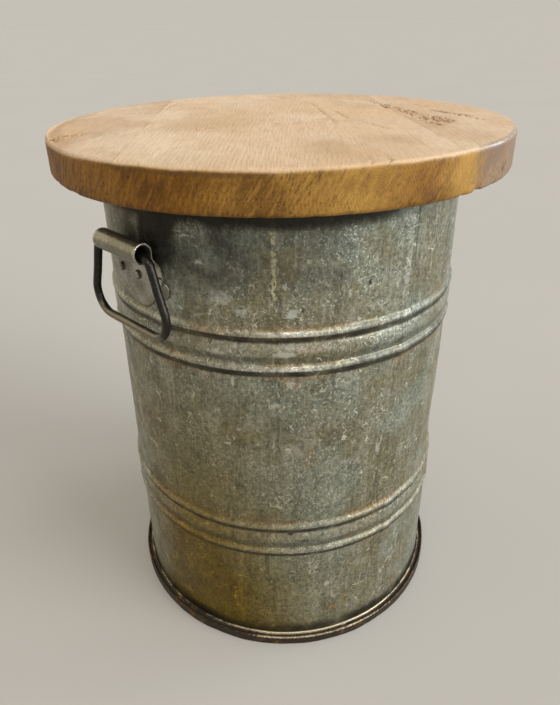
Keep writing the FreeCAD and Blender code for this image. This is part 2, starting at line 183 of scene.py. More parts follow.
def nearness(points, marks):
    """How strongly each point lies in a mark (azimuth, height, half width, half height, strength)."""
    total = np.zeros(len(points))
    azimuth = azimuth_of(points)
    for place, height, across, up, strength in marks:
        distance = np.hypot(wall_aside(azimuth, place) / across, (points[:, 2] / MM - height) / up)
        total = np.maximum(total, strength * (1 - smoothstep(0.2, 1.0, distance)))
    return total


# ------------------------------------------------------------------ meshes

def new_object(name, data):
    made = bpy.data.objects.new(name, data)
    bpy.context.scene.collection.objects.link(made)
    return made


def mesh_piece(name, points, faces, material, body, slot, nodes, sharp=35.0, **attributes):
    """Object from points and faces that rides on a body and stands for its CAD nodes."""
    mesh = bpy.data.meshes.new(name)
    mesh.from_pydata(np.asarray(points).tolist(), [], faces)
    mesh.shade_smooth()
    mesh.set_sharp_from_angle(angle=math.radians(sharp))
    for label, values in attributes.items():
        layer = mesh.attributes.new(label, "FLOAT", "POINT")
        layer.data.foreach_set("value", np.asarray(values, np.float32))
    mesh.materials.append(material)
    mesh.update()
    piece = new_object(name, mesh)
    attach(piece, body)
    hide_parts(*nodes)


def ring_faces(rows, columns, start=0, closed=True):
    """Quads between rows of points that each go round; closed joins the last row to the first."""
    faces = []
    for row in range(rows if closed else rows - 1):
        here, above = row * columns, (row + 1) % rows * columns
        for column in range(columns):
            beside = (column + 1) % columns
            faces.append((start + here + column, start + here + beside,
                          start + above + beside, start + above + column))
    return faces


def lathe(profile, degrees):
    """Points of a profile (radius, height) at each azimuth, one row per profile point."""
    return np.concatenate([around(radius, degrees, height) for radius, height in profile])


def inside(points, loop):
    """Which points (n x 2) lie inside a closed loop (m x 2)."""
    following = np.roll(loop, -1, axis=0)
    hits = np.zeros(len(points), int)
    for start, end in zip(loop, following):
        spans = (start[1] > points[:, 1]) != (end[1] > points[:, 1])
        rise = end[1] - start[1]
        if rise:
            across = start[0] + (points[:, 1] - start[1]) / rise * (end[0] - start[0])
            hits += spans & (points[:, 0] < across)
    return hits % 2 == 1


def lattice(low, high, spacing):
    """Triangular lattice of points over a box."""
    rise = spacing * math.sqrt(0.75)
    up = np.arange(low[1], high[1], rise)
    across = np.arange(low[0], high[0], spacing)
    grid_x, grid_y = np.meshgrid(across, up)
    grid_x = grid_x + (np.arange(len(up)) % 2)[:, None] * spacing / 2
    return np.stack([grid_x.ravel(), grid_y.ravel()], -1)


def clear_of(points, others, distance):
    """The points that keep a distance from all the others."""
    kept = np.ones(len(points), bool)
    for part in np.array_split(np.arange(len(points)), max(1, len(points) // 2000)):
        gaps = points[part, None, :] - others[None, :, :]
        kept[part] = (gaps ** 2).sum(-1).min(1) > distance ** 2
    return points[kept]


def fill(loop, spacing, fine=()):
    """Inner points and triangles of a flat closed loop, which comes first among the points.

    fine holds (points, spacing) of places with a closer mesh.
    """
    free = np.empty((0, 2))
    for extra, gap in fine:
        extra = clear_of(extra, loop, 0.7 * gap)
        free = np.concatenate([free, extra[inside(extra, loop)]])
    coarse = clear_of(lattice(loop.min(0), loop.max(0), spacing), loop, 0.7 * spacing)
    if len(free):
        coarse = clear_of(coarse, free, 0.8 * spacing)
    free = np.concatenate([free, coarse[inside(coarse, loop)]])
    points = [Vector(point) for point in np.concatenate([loop, free])]
    edges = [(index, (index + 1) % len(loop)) for index in range(len(loop))]
    made = delaunay_2d_cdt(points, edges, [], 1, 1e-9)
    source = [origin[0] for origin in made[3]]
    triangles = [tuple(source[corner] for corner in face) for face in made[2]]
    return free, triangles


def plate(rings, heights, spacing, fine=(), fill_low=True):
    """Closed plate from loops (n x 2) at heights, the lowest first.

    Returns points, faces and the count of loop points; the free points of the top come after them.
    """
    columns = len(rings[0])
    points = [np.column_stack([ring, np.full(columns, height)])
              for ring, height in zip(rings, heights)]
    faces = ring_faces(len(rings), columns, closed=False)
    count = columns * len(rings)
    free, triangles = fill(rings[-1], spacing, fine)
    points.append(np.column_stack([free, np.full(len(free), heights[-1])]))
    top = (len(rings) - 1) * columns

    def placed(index, ring_start, free_start):
        return ring_start + index if index < columns else free_start + index - columns

    faces += [tuple(placed(corner, top, count) for corner in face) for face in triangles]
    if fill_low:
        low_start = count + len(free)
        low_free, triangles = fill(rings[0], spacing * 2)
        points.append(np.column_stack([low_free, np.full(len(low_free), heights[0])]))
        faces += [tuple(placed(corner, 0, low_start) for corner in reversed(face))
                  for face in triangles]
    else:
        faces.append(tuple(reversed(range(columns))))
    return np.concatenate(points), faces, count


def rounded_steps(edge, low, high, steps, sides):
    """(inset, height) rows up a plate's side: a rounded edge below, the side, and one above."""
    angles = np.linspace(0, math.pi / 2, steps)
    below = [(edge * (1 - math.sin(a)), low + edge * (1 - math.cos(a))) for a in angles]
    side = [(0.0, height) for height in np.linspace(low + edge, high - edge, sides + 2)[1:-1]]
    above = [(edge * (1 - math.sin(a)), high - edge * (1 - math.cos(a))) for a in angles[::-1]]
    return below + side + above


def rounded_plate(outline, edge, low, high, rows, spacing, **options):
    """Plate whose outline is a function of the inset; rows are those of an edge and of the side."""
    steps = rounded_steps(edge, low, high, *rows)
    return plate([outline(inset) for inset, _ in steps], [height for _, height in steps], spacing,
                 **options)


def inward(loop, distance):
    """A counter-clockwise loop moved inward along its own normals."""
    along = unit(np.roll(loop, -1, axis=0) - np.roll(loop, 1, axis=0))
    return loop + distance * np.stack([-along[:, 1], along[:, 0]], -1)


# ------------------------------------------------------------------ materials

class Graph:
    """Nodes of one material; each call adds a node and returns its output socket."""

    def __init__(self, name):
        self.material = bpy.data.materials.new(name)
        self.material.use_nodes = True
        self.nodes = self.material.node_tree.nodes
        self.links = self.material.node_tree.links
        self.nodes.clear()
        self.shader = self.nodes.new("ShaderNodeBsdfPrincipled")
        output = self.nodes.new("ShaderNodeOutputMaterial")
        self.links.new(self.shader.outputs[0], output.inputs["Surface"])
        self.place = self.nodes.new("ShaderNodeTexCoord").outputs["Object"]

    def feed(self, socket, value):
        if isinstance(value, bpy.types.NodeSocket):
            self.links.new(value, socket)
        elif isinstance(value, tuple) and len(value) == 3 and socket.type == "RGBA":
            socket.default_value = value + (1.0,)
        else:
            socket.default_value = value

    def feed_all(self, node, inputs):
        """Feeds inputs by name, with _ for a space, or by number after a _."""
        for key, value in inputs.items():
            place = int(key[1:]) if key[1:].isdigit() else key.replace("_", " ")
            self.feed(node.inputs[place], value)

    def add(self, kind, output=0, settings=(), **inputs):
        node = self.nodes.new("ShaderNode" + kind)
        for key, value in dict(settings).items():
            setattr(node, key, value)
        self.feed_all(node, inputs)
        return node.outputs[output]

    def math(self, operation, first, second=0.0, kind="Math"):
        return self.add(kind, settings={"operation": operation}, _0=first, _1=second)

    def times(self, first, second):
        return self.math("MULTIPLY", first, second)

    def plus(self, first, second):
        return self.math("ADD", first, second)

    def less(self, first, second):
        return self.math("SUBTRACT", first, second)

    def stretch(self, vector, factors):
        return self.math("MULTIPLY", vector, factors, "VectorMath")

    def shift(self, vector, offset):
        return self.math("ADD", vector, offset, "VectorMath")

    def noise(self, size, vector=None, detail=3.0, roughness=0.55, distortion=0.0, output=0):
        """Noise about 0.5 with features about size metres across."""
        return self.add("TexNoise", output, Vector=vector or self.place, Scale=1.0 / size,
                        Detail=detail, Roughness=roughness, Distortion=distortion)

    def step(self, value, low, high, first=0.0, last=1.0):
        """Smooth step from first at low to last at high."""
        return self.add("MapRange", settings={"interpolation_type": "SMOOTHSTEP"}, _0=value,
                        _1=low, _2=high, _3=first, _4=last)

    def mix(self, factor, first, second, blend="MIX"):
        return self.add("Mix", 2, {"data_type": "RGBA", "blend_type": blend},
                        Factor=factor, _6=first, _7=second)

    def glaze(self, colour, mask, strength, tone):
        """The colour under a tone that is as strong as the mask."""
        return self.mix(self.times(mask, strength), colour, tone)

    def tint(self, colour, layers):
        """The colour under layers of (value, where it starts, where it is full, strength, tone)."""
        for value, low, high, strength, tone in layers:
            colour = self.mix(self.step(value, low, high, 0.0, strength), colour, tone)
        return colour

    def painted(self, label):
        return self.add("Attribute", 2, {"attribute_name": label})

    def ragged(self, label, noise, share, low, high):
        """A painted mask whose border is broken up by a noise."""
        return self.step(self.plus(self.painted(label), self.times(noise, share)), low, high)

    def bump(self, height, distance, **normal):
        return self.add("Bump", Height=height, Distance=distance, **normal)

    def finish(self, **inputs):
        self.feed_all(self.shader, inputs)
        return self.material


def scaled(colour, factor):
    return tuple(factor * channel for channel in colour)


def galvanised(name, painted=True):
    """Weathered zinc: mottled grey-olive with flecks, curly scratches, brown stains and rust, and
    where painted, highlights, shade and a floor reflection painted into the colour.
    """
    g = Graph(name)
    cloud = g.noise(0.030, detail=5.0, roughness=0.62)
    upright = g.noise(0.011, g.stretch(g.place, (1.0, 1.0, 0.08)), detail=4.0)
    flecks = g.noise(0.0024, detail=2.0, roughness=0.6)
    grit = g.noise(0.0042, detail=5.0, roughness=0.80)
    colour = g.mix(g.step(g.noise(0.090), 0.40, 0.60), (0.188, 0.175, 0.106), (0.204, 0.221, 0.176))
    colour = g.tint(colour, (
        (cloud, 0.50, 0.68, 0.42, (0.360, 0.375, 0.325)),  # pale bloom
        (cloud, 0.48, 0.34, 0.42, (0.064, 0.062, 0.042)),  # dull clouds
        (upright, 0.52, 0.68, 0.34, (0.330, 0.330, 0.275)),  # pale runs
        (upright, 0.47, 0.32, 0.36, (0.064, 0.060, 0.040)),  # dark runs
    ))

    brown = g.step(g.noise(0.055, detail=5.0, roughness=0.7), 0.54, 0.70, 0.0, 0.50)
    if painted:
        brown = g.math("MAXIMUM", brown, g.ragged("rust", grit, 1.0, 0.85, 1.40))
    colour = g.glaze(colour, brown, 0.60, (0.210, 0.130, 0.060))
    rough = g.plus(g.step(cloud, 0.35, 0.65, 0.46, 0.33), g.times(brown, 0.22))
    colour = g.mix(1.0, colour, g.step(grit, 0.34, 0.66, 0.60, 1.40), "MULTIPLY")

    fleck = g.times(g.step(flecks, 0.56, 0.68), g.step(g.noise(0.045), 0.40, 0.62, 0.15, 1.0))
    colour = g.glaze(colour, fleck, 0.60, (0.600, 0.600, 0.510))
    threads = g.noise(0.0026, g.stretch(g.place, (1.0, 1.0, 0.12)), detail=2.0)
    colour = g.tint(colour, [(threads, 0.57, 0.68, 0.30, (0.480, 0.480, 0.400))])

    # Pale dots of many sizes, one in each bent cell
    bend = g.stretch(g.noise(1 / 300, detail=1.0, roughness=0.5, output=1), (0.0024,) * 3)
    cells = g.add("TexVoronoi", Vector=g.shift(g.place, bend), Scale=1.0 / 0.0038).node.outputs
    chance = g.add("SeparateColor", Color=cells["Color"])
    size = g.less(g.times(chance, 0.60), 0.30)
    dot = g.step(g.less(cells["Distance"], size), 0.05, -0.08)
    dot = g.times(dot, g.step(g.noise(0.035, detail=2.0), 0.42, 0.60, 0.10, 1.0))
    colour = g.glaze(colour, dot, 0.55, (0.640, 0.640, 0.550))

    curl = g.math("ABSOLUTE", g.less(g.noise(0.017, detail=1.5, distortion=0.9), 0.5))
    curl = g.times(g.step(curl, 0.022, 0.008), g.step(g.noise(0.013, detail=1.0), 0.57, 0.63))
    colour = g.glaze(colour, curl, 0.62, (0.680, 0.680, 0.590))

    if painted:
        pale = g.ragged("pale", grit, 1.0, 0.85, 1.25)
        colour = g.glaze(colour, pale, 0.68, (0.540, 0.550, 0.480))
        # Painted highlight on the band crests, brightest in front, partly rubbed metal
        crest_wear_and_highlight = g.times(g.painted("crest_wear_and_highlight"), g.step(grit, 0.38, 0.58, 0.35, 1.0))
        colour = g.glaze(colour, crest_wear_and_highlight, 0.86, (0.830, 0.815, 0.740))
        # Painted reflection of the floor: a yellow-olive cast over the colour
        colour = g.mix(g.painted("painted_floor_reflection"), colour, (0.58, 0.37, 0.03), "MULTIPLY")
        stripe = g.ragged("streak", flecks, 1.1, 1.02, 1.30)
        colour = g.glaze(colour, stripe, 0.80, (0.520, 0.490, 0.310))
        # Dirt at the foot and in marks, and painted shade: under the lid, under the bands, beside the
        # lap and round the brackets
        grime = g.ragged("grime", cloud, 0.9, 0.62, 1.20)
        colour = g.glaze(colour, grime, 0.95, (0.014, 0.011, 0.006))
        rough = g.less(g.plus(rough, g.times(grime, 0.25)), g.times(crest_wear_and_highlight, 0.24))
    normal = g.bump(g.plus(g.times(grit, 0.8), g.times(fleck, 0.5)), 0.00030)
    return g.finish(Base_Color=colour, Metallic=0.66, Roughness=rough,
                    Normal=g.bump(cloud, 0.0018, Normal=normal))


def rusted(name, dark, worn, rust, painted=True, rust_level=0.5, smooth=0.0):
    """Dark steel with orange rust in blotches, bright metal where it is rubbed or painted lit, and
    painted shade where a part asks for it.
    """
    g = Graph(name)
    blotch = g.noise(0.020, detail=5.0, roughness=0.7)
    grain = g.noise(0.0022, detail=3.0, roughness=0.7)
    colour = g.mix(g.step(grain, 0.35, 0.65), dark, scaled(dark, 2.1 - 0.6 * smooth))
    uneven = g.plus(g.times(blotch, 0.7), g.times(grain, 0.3))
    colour = g.tint(colour, [(uneven, 0.60 - 0.16 * rust_level, 0.72 - 0.16 * rust_level, 0.8, rust)])
    rough = g.step(grain, 0.3, 0.7, 0.38 - 0.10 * smooth, 0.62 - 0.22 * smooth)
    if painted:
        wear = g.ragged("wear", grain, 0.7 - 0.4 * smooth, 0.72 - 0.2 * smooth, 1.10 - 0.2 * smooth)
        colour = g.mix(wear, colour, worn)
        # Painted shade where a part asks for it: the top of the bracket's knuckle and each lobe
        shade_strength = g.ragged("grime", grain, 0.4, 0.50, 0.90)
        colour = g.glaze(colour, shade_strength, 0.9, (0.012, 0.010, 0.008))
        rough = g.less(rough, g.times(wear, 0.10))
    normal = g.bump(grain, 0.00035 - 0.00022 * smooth)
    return g.finish(Base_Color=colour, Metallic=0.70 + 0.15 * smooth, Roughness=rough,
                    Normal=g.bump(blotch, 0.0010 - 0.0007 * smooth, Normal=normal))


def weathered_edge(g, colour, ring, pore, along, across, up, patchy):
    """Sawn and worn side of a plank over its top's colour, with painted shade in its deep-brown
    places and a painted reflection where it is glossy; returns colour, side and glossy mask.
    """
    side, deep = g.painted("side"), g.painted("deep")
    edge = g.mix(g.times(ring, g.step(pore, 0.40, 0.60, 0.05, 0.60)),
                 (0.330, 0.180, 0.036), (0.150, 0.068, 0.010))
    edge = g.tint(edge, [(g.noise(0.040, detail=4.0), 0.44, 0.58, 0.80, (0.165, 0.078, 0.012))])
    girth = g.times(g.math("ARCTAN2", along, across), 0.23)
    slanting = g.add("CombineXYZ", X=g.plus(girth, g.times(up, -0.55)), Y=g.times(up, 0.16))
    hatch = g.noise(0.0034, slanting, detail=2.0, roughness=0.6)
    # Dark and light saw marks, stronger where the side is deep brown (stain and painted shade)
    hatched = g.plus(g.times(deep, 0.26), 0.20)
    edge = g.mix(g.times(g.step(hatch, 0.51, 0.60), hatched), edge, (0.080, 0.036, 0.006))
    edge = g.mix(g.times(g.step(hatch, 0.47, 0.38), hatched), edge, (0.460, 0.270, 0.080))
    pit = g.noise(0.0019, g.stretch(slanting, (1.0, 2.4, 1.0)), detail=1.0)
    pit = g.times(g.step(pit, 0.60, 0.68), g.step(g.noise(0.026, detail=2.0), 0.44, 0.60))
    colour = g.mix(side, colour, g.glaze(edge, pit, 0.80, (0.045, 0.020, 0.005)))
    colour = g.glaze(colour, g.times(g.step(pore, 0.55, 0.66), side), 0.50, (0.050, 0.022, 0.005))
    colour = g.glaze(colour, g.times(g.step(pore, 0.46, 0.36), side), 0.40, (0.360, 0.205, 0.060))
    colour = g.glaze(colour, g.painted("gold"), 0.60, (0.430, 0.235, 0.045))
    # Deep brown on the side: partly stain, partly painted shade
    deep = g.plus(deep, g.times(g.less(patchy, 0.5), side))
    colour = g.mix(g.step(deep, 0.0, 1.0), colour, (0.58, 0.45, 0.16), "MULTIPLY")
    stain = g.ragged("stain", g.noise(0.012, detail=5.0), 0.8, 0.62, 1.20)
    colour = g.glaze(colour, stain, 0.80, (0.090, 0.044, 0.012))
    # Painted reflection of the window: a grey-lilac tint where the side is glossy
    gloss_and_reflection = g.times(g.painted("gloss_and_reflection"), g.step(pore, 0.42, 0.56, 0.35, 1.0))
    return g.glaze(colour, gloss_and_reflection, 0.85, (0.158, 0.112, 0.096)), side, gloss_and_reflection


def timber(name, pith, seed_shift, early, late, painted=True):
    """Plank wood: growth rings about a pith that runs along the plank, with knots and wear.

    pith is its (across, up) place in the lid frame.
    """
    g = Graph(name)
    turn = g.add("VectorRotate", settings={"rotation_type": "Z_AXIS"}, Vector=g.place,
                 Angle=-LID_TURN)
    across, along, up = g.add("SeparateXYZ", _0=turn).node.outputs
    local = g.shift(turn, (seed_shift, seed_shift, 0.0))

    drawn_out = g.stretch(local, (1.0, 0.05, 1.0))
    sway = g.times(g.less(g.noise(0.110, drawn_out, detail=1.0), 0.5), 0.020)
    tremble = g.times(g.less(g.noise(0.020, drawn_out, detail=2.0), 0.5), 0.0030)
    aside = g.plus(g.less(across, pith[0]), sway)
    above = g.plus(g.less(up, pith[1]), g.times(along, 0.10))
    reach = g.math("SQRT", g.plus(g.times(aside, aside), g.times(above, above)))
    reach = g.plus(reach, tremble)
    if painted:
        reach = g.plus(reach, g.times(g.painted("knot"), 0.020))
    # Rings stand closer near the pith
    turns = g.times(g.math("LOGARITHM", g.plus(g.times(reach, 7.9), 1.0), math.e), 65.0)
    phase = g.math("FRACT", turns)
    ring = g.times(g.step(phase, 0.10, 0.80), g.step(phase, 1.0, 0.86))
    fibre = g.noise(0.0012, g.stretch(local, (1.0, 0.045, 1.0)), detail=3.0, roughness=0.7)
    pore = g.noise(0.0030, detail=4.0, roughness=0.75)
    patchy = g.noise(0.075, g.stretch(local, (1.0, 0.55, 1.0)), detail=4.0)
    weather = g.noise(0.130, detail=4.0, roughness=0.6)

    strength = g.step(g.noise(0.020, drawn_out, detail=2.0), 0.38, 0.72, 0.01, 0.14)
    colour = g.tint(g.mix(g.times(ring, strength), early, late), (
        (weather, 0.46, 0.62, 0.55, (0.690, 0.550, 0.390)),  # bleached
        (weather, 0.48, 0.36, 0.45, (0.640, 0.430, 0.240)),  # warmer
        (patchy, 0.42, 0.68, 0.35, scaled(late, 0.80)),  # browner patches
        (fibre, 0.46, 0.62, 0.30, scaled(late, 0.62)),  # fibres
        (pore, 0.50, 0.66, 0.18, scaled(late, 0.55)),  # pores
    ))
    rough = g.step(patchy, 0.35, 0.65, 0.46, 0.60)
    if painted:
        colour, side, gloss_and_reflection = weathered_edge(g, colour, ring, pore, along, across, up, patchy)
        splinter = g.noise(0.0020, g.stretch(local, (1.0, 0.22, 1.0)), detail=3.0)
        torn = g.times(g.painted("torn"), g.step(splinter, 0.48, 0.58, 0.10, 1.0))
        colour = g.mix(torn, colour, (0.240, 0.110, 0.045))
        colour = g.mix(g.painted("crack"), colour, (0.060, 0.030, 0.012))
        colour = g.glaze(colour, g.painted("knot"), 0.26, (0.300, 0.160, 0.060))
        rough = g.less(rough, g.times(g.painted("gloss_and_reflection"), 0.15))
        g.feed(g.shader.inputs["Coat Weight"], g.times(gloss_and_reflection, g.step(side, 0.1, 0.8, 0.95, 0.16)))
    height = g.plus(g.plus(g.times(fibre, 0.55), g.times(ring, 0.14)), g.times(pore, 0.6))
    return g.finish(Base_Color=colour, Roughness=rough, Normal=g.bump(height, 0.00045),
                    Specular_IOR_Level=0.22, Coat_Roughness=0.16)


MATERIALS = {
    "zinc": galvanised("galvanised_skin"),
    "zinc_inside": galvanised("galvanised_base", painted=False),
    "foot": rusted("rusted_hoop", (0.024, 0.017, 0.010), (0.500, 0.420, 0.290),
                   (0.240, 0.115, 0.032), rust_level=0.42),
    "bracket": rusted("bracket_metal", (0.138, 0.127, 0.090), (0.415, 0.402, 0.335),
                      (0.165, 0.120, 0.060), rust_level=0.2, smooth=1.0),
    "bail": rusted("bail_metal", (0.020, 0.018, 0.015), (0.150, 0.130, 0.085),
                   (0.085, 0.060, 0.030), rust_level=0.3, smooth=0.8),
    "rivet": rusted("rivet_metal", (0.045, 0.041, 0.034), (0.340, 0.320, 0.270),
                    (0.110, 0.070, 0.035), rust_level=0.2),
    "wire": rusted("rim_metal", (0.060, 0.050, 0.038), (0.3, 0.3, 0.3), (0.160, 0.080, 0.030),
                   painted=False, rust_level=0.8),
    "screw": rusted("screw_metal", (0.090, 0.082, 0.066), (0.3, 0.3, 0.3), (0.150, 0.080, 0.035),
                    painted=False),
}


# ------------------------------------------------------------------ barrel

def arc_swell(offset, width, rise):
    """Rise of a round swell over a chord of width, at an offset from its middle."""
    radius = (width ** 2 / 4 + rise ** 2) / (2 * rise)
    within = np.clip(radius ** 2 - offset ** 2, 0, None)
    return np.where(np.abs(offset) < width / 2, np.sqrt(within) - (radius - rise), 0.0)


def swell(height):
    """How far the bands stand out of the wall, their creases eased."""
    total = np.zeros_like(height)
    ease = 0.9 * MM
    for shift in (-ease, -ease / 2, 0.0, ease / 2, ease):
        for band in BANDS:
            offset = height + shift - band
            bead = BELLY_WIDTH / 2 + BEAD_WIDTH / 2
            total += arc_swell(offset, BELLY_WIDTH, BELLY_RISE) / 5
            total += arc_swell(offset - bead, BEAD_WIDTH, BEAD_RISE) / 5
            total += arc_swell(offset + bead, BEAD_WIDTH, BEAD_RISE) / 5
    return total


def wall_heights(coarse, close):
    """Heights up the wall, close together over the bands."""
    heights = [BASE]
    reach = BELLY_WIDTH / 2 + BEAD_WIDTH + 2 * MM
    while heights[-1] < RIM - coarse:
        near = any(abs(heights[-1] - band) < reach + coarse for band in BANDS)
        heights.append(heights[-1] + (close if near else coarse))
    return np.array(heights[:-1])


# azimuth, height, half width, half height (all but the azimuth in mm), depth in mm
DENTS = [
    (238, 300, 46, 60, 1.1), (205, 250, 40, 50, 0.9), (268, 330, 34, 46, 1.0),
    (228, 95, 40, 26, 0.8), (300, 220, 60, 70, 1.4), (20, 280, 50, 60, 1.2),
    (90, 110, 44, 36, 1.0), (140, 330, 50, 60, 1.3), (252, 455, 34, 26, 0.7),
    (222.6, 404, 4, 5, 0.7), (222.6, 369, 4, 5, 0.6), (226.5, 168, 7, 6, 0.9),
    (231, 158, 8, 5, 0.9), (236, 162, 6, 5, 0.6), (60, 400, 12, 10, 1.2),
]
# The same for the paint's marks, with a strength from 0 to 1 in place of the depth
RUST_MARKS = [
    (240.5, 44, 16, 12, 0.9), (246, 50, 12, 9, 0.8), (233, 266, 18, 34, 0.7),
    (232, 390, 30, 8, 0.9), (262, 360, 26, 16, 0.7), (205, 405, 40, 12, 0.8),
    (212, 470, 16, 34, 0.6), (227, 352, 20, 10, 0.8), (30, 60, 40, 30, 0.8),
    (100, 300, 26, 44, 0.7), (150, 90, 44, 24, 0.8), (300, 60, 34, 22, 0.9),
]
PALE_MARKS = [
    (227.4, 425, 9, 7, 1.0), (255.5, 258, 4, 17, 0.9), (257.3, 270, 3, 12, 0.8),
    (255.3, 222, 3, 10, 0.8), (225, 386, 20, 6, 0.8), (226.6, 353, 10, 7, 0.8),
    (244, 458, 6, 9, 0.7), (243, 440, 5, 8, 0.7), (240, 424, 14, 3, 0.6),
    (206, 385, 16, 7, 0.7), (222, 330, 14, 8, 0.7), (268, 120, 5, 30, 0.7),
    (215, 60, 22, 14, 0.4), (242, 62, 14, 8, 0.7), (247, 38, 10, 8, 0.6),
    (46, 250, 14, 20, 0.8), (120, 180, 20, 12, 0.8),
    (208, 438, 24, 18, 0.6), (214, 426, 18, 14, 0.6), (188, 404, 13, 6, 0.9),
    (252, 425, 26, 20, 0.5), (232, 372, 30, 6, 0.5), (246, 410, 20, 10, 0.5),
]
# Among the dark marks, the last one, under the lid at azimuth 200, is painted shade
DARK_MARKS = [
    (265.4, 55, 2.6, 22, 0.8), (249, 446, 3, 3, 0.9), (230, 428, 3, 4, 0.8),
    (226.5, 168, 8, 4, 0.6), (231, 158, 9, 4, 0.6), (200, 488, 30, 14, 0.5),
]


def band_marks(azimuth, level, outside):
    """Painted highlights on the crests and belly tops (partly rubbed metal), painted shade under
    them, and rusty edges of the bands.
    """
    upper = smoothstep(300, 340, level)
    lit = (0.20 + 0.80 * bell(azimuth, 228, 8) * upper) * outside
    # Painted shade that dims the crests on the right-hand side
    painted_crest_shade = window(azimuth, 233, 249, 290, 330) * (0.26 + 0.16 * upper) * outside
    belly_half, bead = BELLY_WIDTH / MM / 2, BEAD_WIDTH / MM
    crest_wear_and_highlight, painted_band_shade, near_band = np.zeros((3, len(level)))
    for band in BANDS:
        above = level - band / MM
        # Painted highlight on each belly's upper half
        crest_wear_and_highlight = np.maximum(crest_wear_and_highlight, 0.45 * lit * strip(above, 5, 2, 7))
        # Painted shade on each belly's lower half
        painted_band_shade = np.maximum(painted_band_shade, 0.36 * outside * strip(above, -6, 2, 6))
        for edge_side in (-1, 1):
            over_bead = above - edge_side * (belly_half + bead / 2)
            # Painted highlight along each bead's crest
            crest_wear_and_highlight = np.maximum(crest_wear_and_highlight, lit * strip(over_bead, 1.7, 0.9, 2.4))
            # Painted shade under each bead and on the wall just below it
            painted_band_shade = np.maximum.reduce([
                painted_band_shade, painted_crest_shade * strip(over_bead, 2.5, 2.5, 5.0),
                0.56 * outside * window(over_bead, -9.5, -6.5, -1.0, 0.3)])
            near_band = np.maximum.reduce([
                near_band, strip(above, edge_side * (belly_half + bead + 1.5), 1, 7),
                strip(above, edge_side * belly_half, 0, 4)])
    return crest_wear_and_highlight, painted_band_shade, near_band


def paint_shell(points, azimuth, outside):
    """The wall's marks of age, with painted highlights, painted shade and shadows and a painted floor
    reflection, under the names by which the zinc material reads them.
    """
    level = points[:, 2] / MM
    patchy = patches(points, 0.045, 21)
    crest_wear_and_highlight, painted_band_shade, near_band = band_marks(azimuth, level, outside)
    rust = np.maximum(near_band * (0.25 + 0.75 * patchy), nearness(points, RUST_MARKS))
    seam_strip = strip(azimuth, (LAP_START + LAP_END) / 2, 0.8, 2.6)
    seam_strip = seam_strip * (0.15 + 0.50 * smoothstep(395, 410, level))
    pale = np.maximum(nearness(points, PALE_MARKS), seam_strip * (0.4 + patchy))

    fresh = 0.34 + 0.14 * smoothstep(300, 340, level) + 0.52 * smoothstep(418, 448, level)
    broken = 0.45 + 0.55 * patches(points, (0.02, 0.02, 0.05), 22)
    streak = strip(wall_aside(azimuth, STREAK), 0, 1.4, 4.4) * broken * fresh

    # Painted reflection of the floor, strongest low on the side facing azimuth 190 and low in front
    turned_away = (azimuth - 190) % 360
    shade_side = smoothstep(65, 0, turned_away) + smoothstep(322, 360, turned_away)
    painted_floor_reflection = smoothstep(500, 110, level) * np.maximum(0.92 * shade_side, 0.20)
    low_front = window(azimuth, 150, 190, 228, 252) * smoothstep(165, 60, level)
    painted_floor_reflection = np.minimum(painted_floor_reflection + 0.26 * low_front, 1.0)

    foot = smoothstep(36, 13, level) * (0.40 + 0.50 * patchy)
    # Painted shadow of the lap's step: a dark line beside its edge
    lap_step_shadow = 0.9 * bell(azimuth, LAP_END + 0.25, 0.34) * outside
    lap_step_shadow = lap_step_shadow * (0.40 + 0.60 * smoothstep(380, 420, level))
    # Painted shadow of the lid's overhang on the top of the wall, weaker on the right
    painted_lid_shadow = (0.90 - 0.42 * smoothstep(248, 264, azimuth)) * smoothstep(484, 511, level)
    # Painted shade on the upper front of the wall below the lid
    painted_upper_shade = (0.40 + 0.10 * smoothstep(222, 208, azimuth)) * window(azimuth, 130, 180, 236, 256)
    painted_upper_shade = painted_upper_shade * smoothstep(408, 462, level)
    # Painted shadow of each bracket on the wall beside it, lighter at the right-hand bracket
    painted_bracket_shadow = np.zeros(len(points))
    for side, shade_strength in (("left", 1.0), ("right", 0.55)):
        beside = window(wall_aside(azimuth, SIDES[side]), -8, 16, 40, 66)
        painted_bracket_shadow = np.maximum(painted_bracket_shadow, shade_strength * beside * smoothstep(438, 468, level))
    painted_bracket_shadow = painted_bracket_shadow * (0.80 + 0.30 * lattice_noise(points, 0.02, 23))
    # Dirt at the foot and in dark marks, together with the painted shade and shadows
    grime = np.maximum.reduce([foot, nearness(points, DARK_MARKS), lap_step_shadow, painted_lid_shadow, painted_band_shade,
                               painted_upper_shade, painted_bracket_shadow * outside])
    return dict(rust=rust, painted_floor_reflection=painted_floor_reflection, crest_wear_and_highlight=crest_wear_and_highlight, pale=pale, streak=streak, grime=grime)


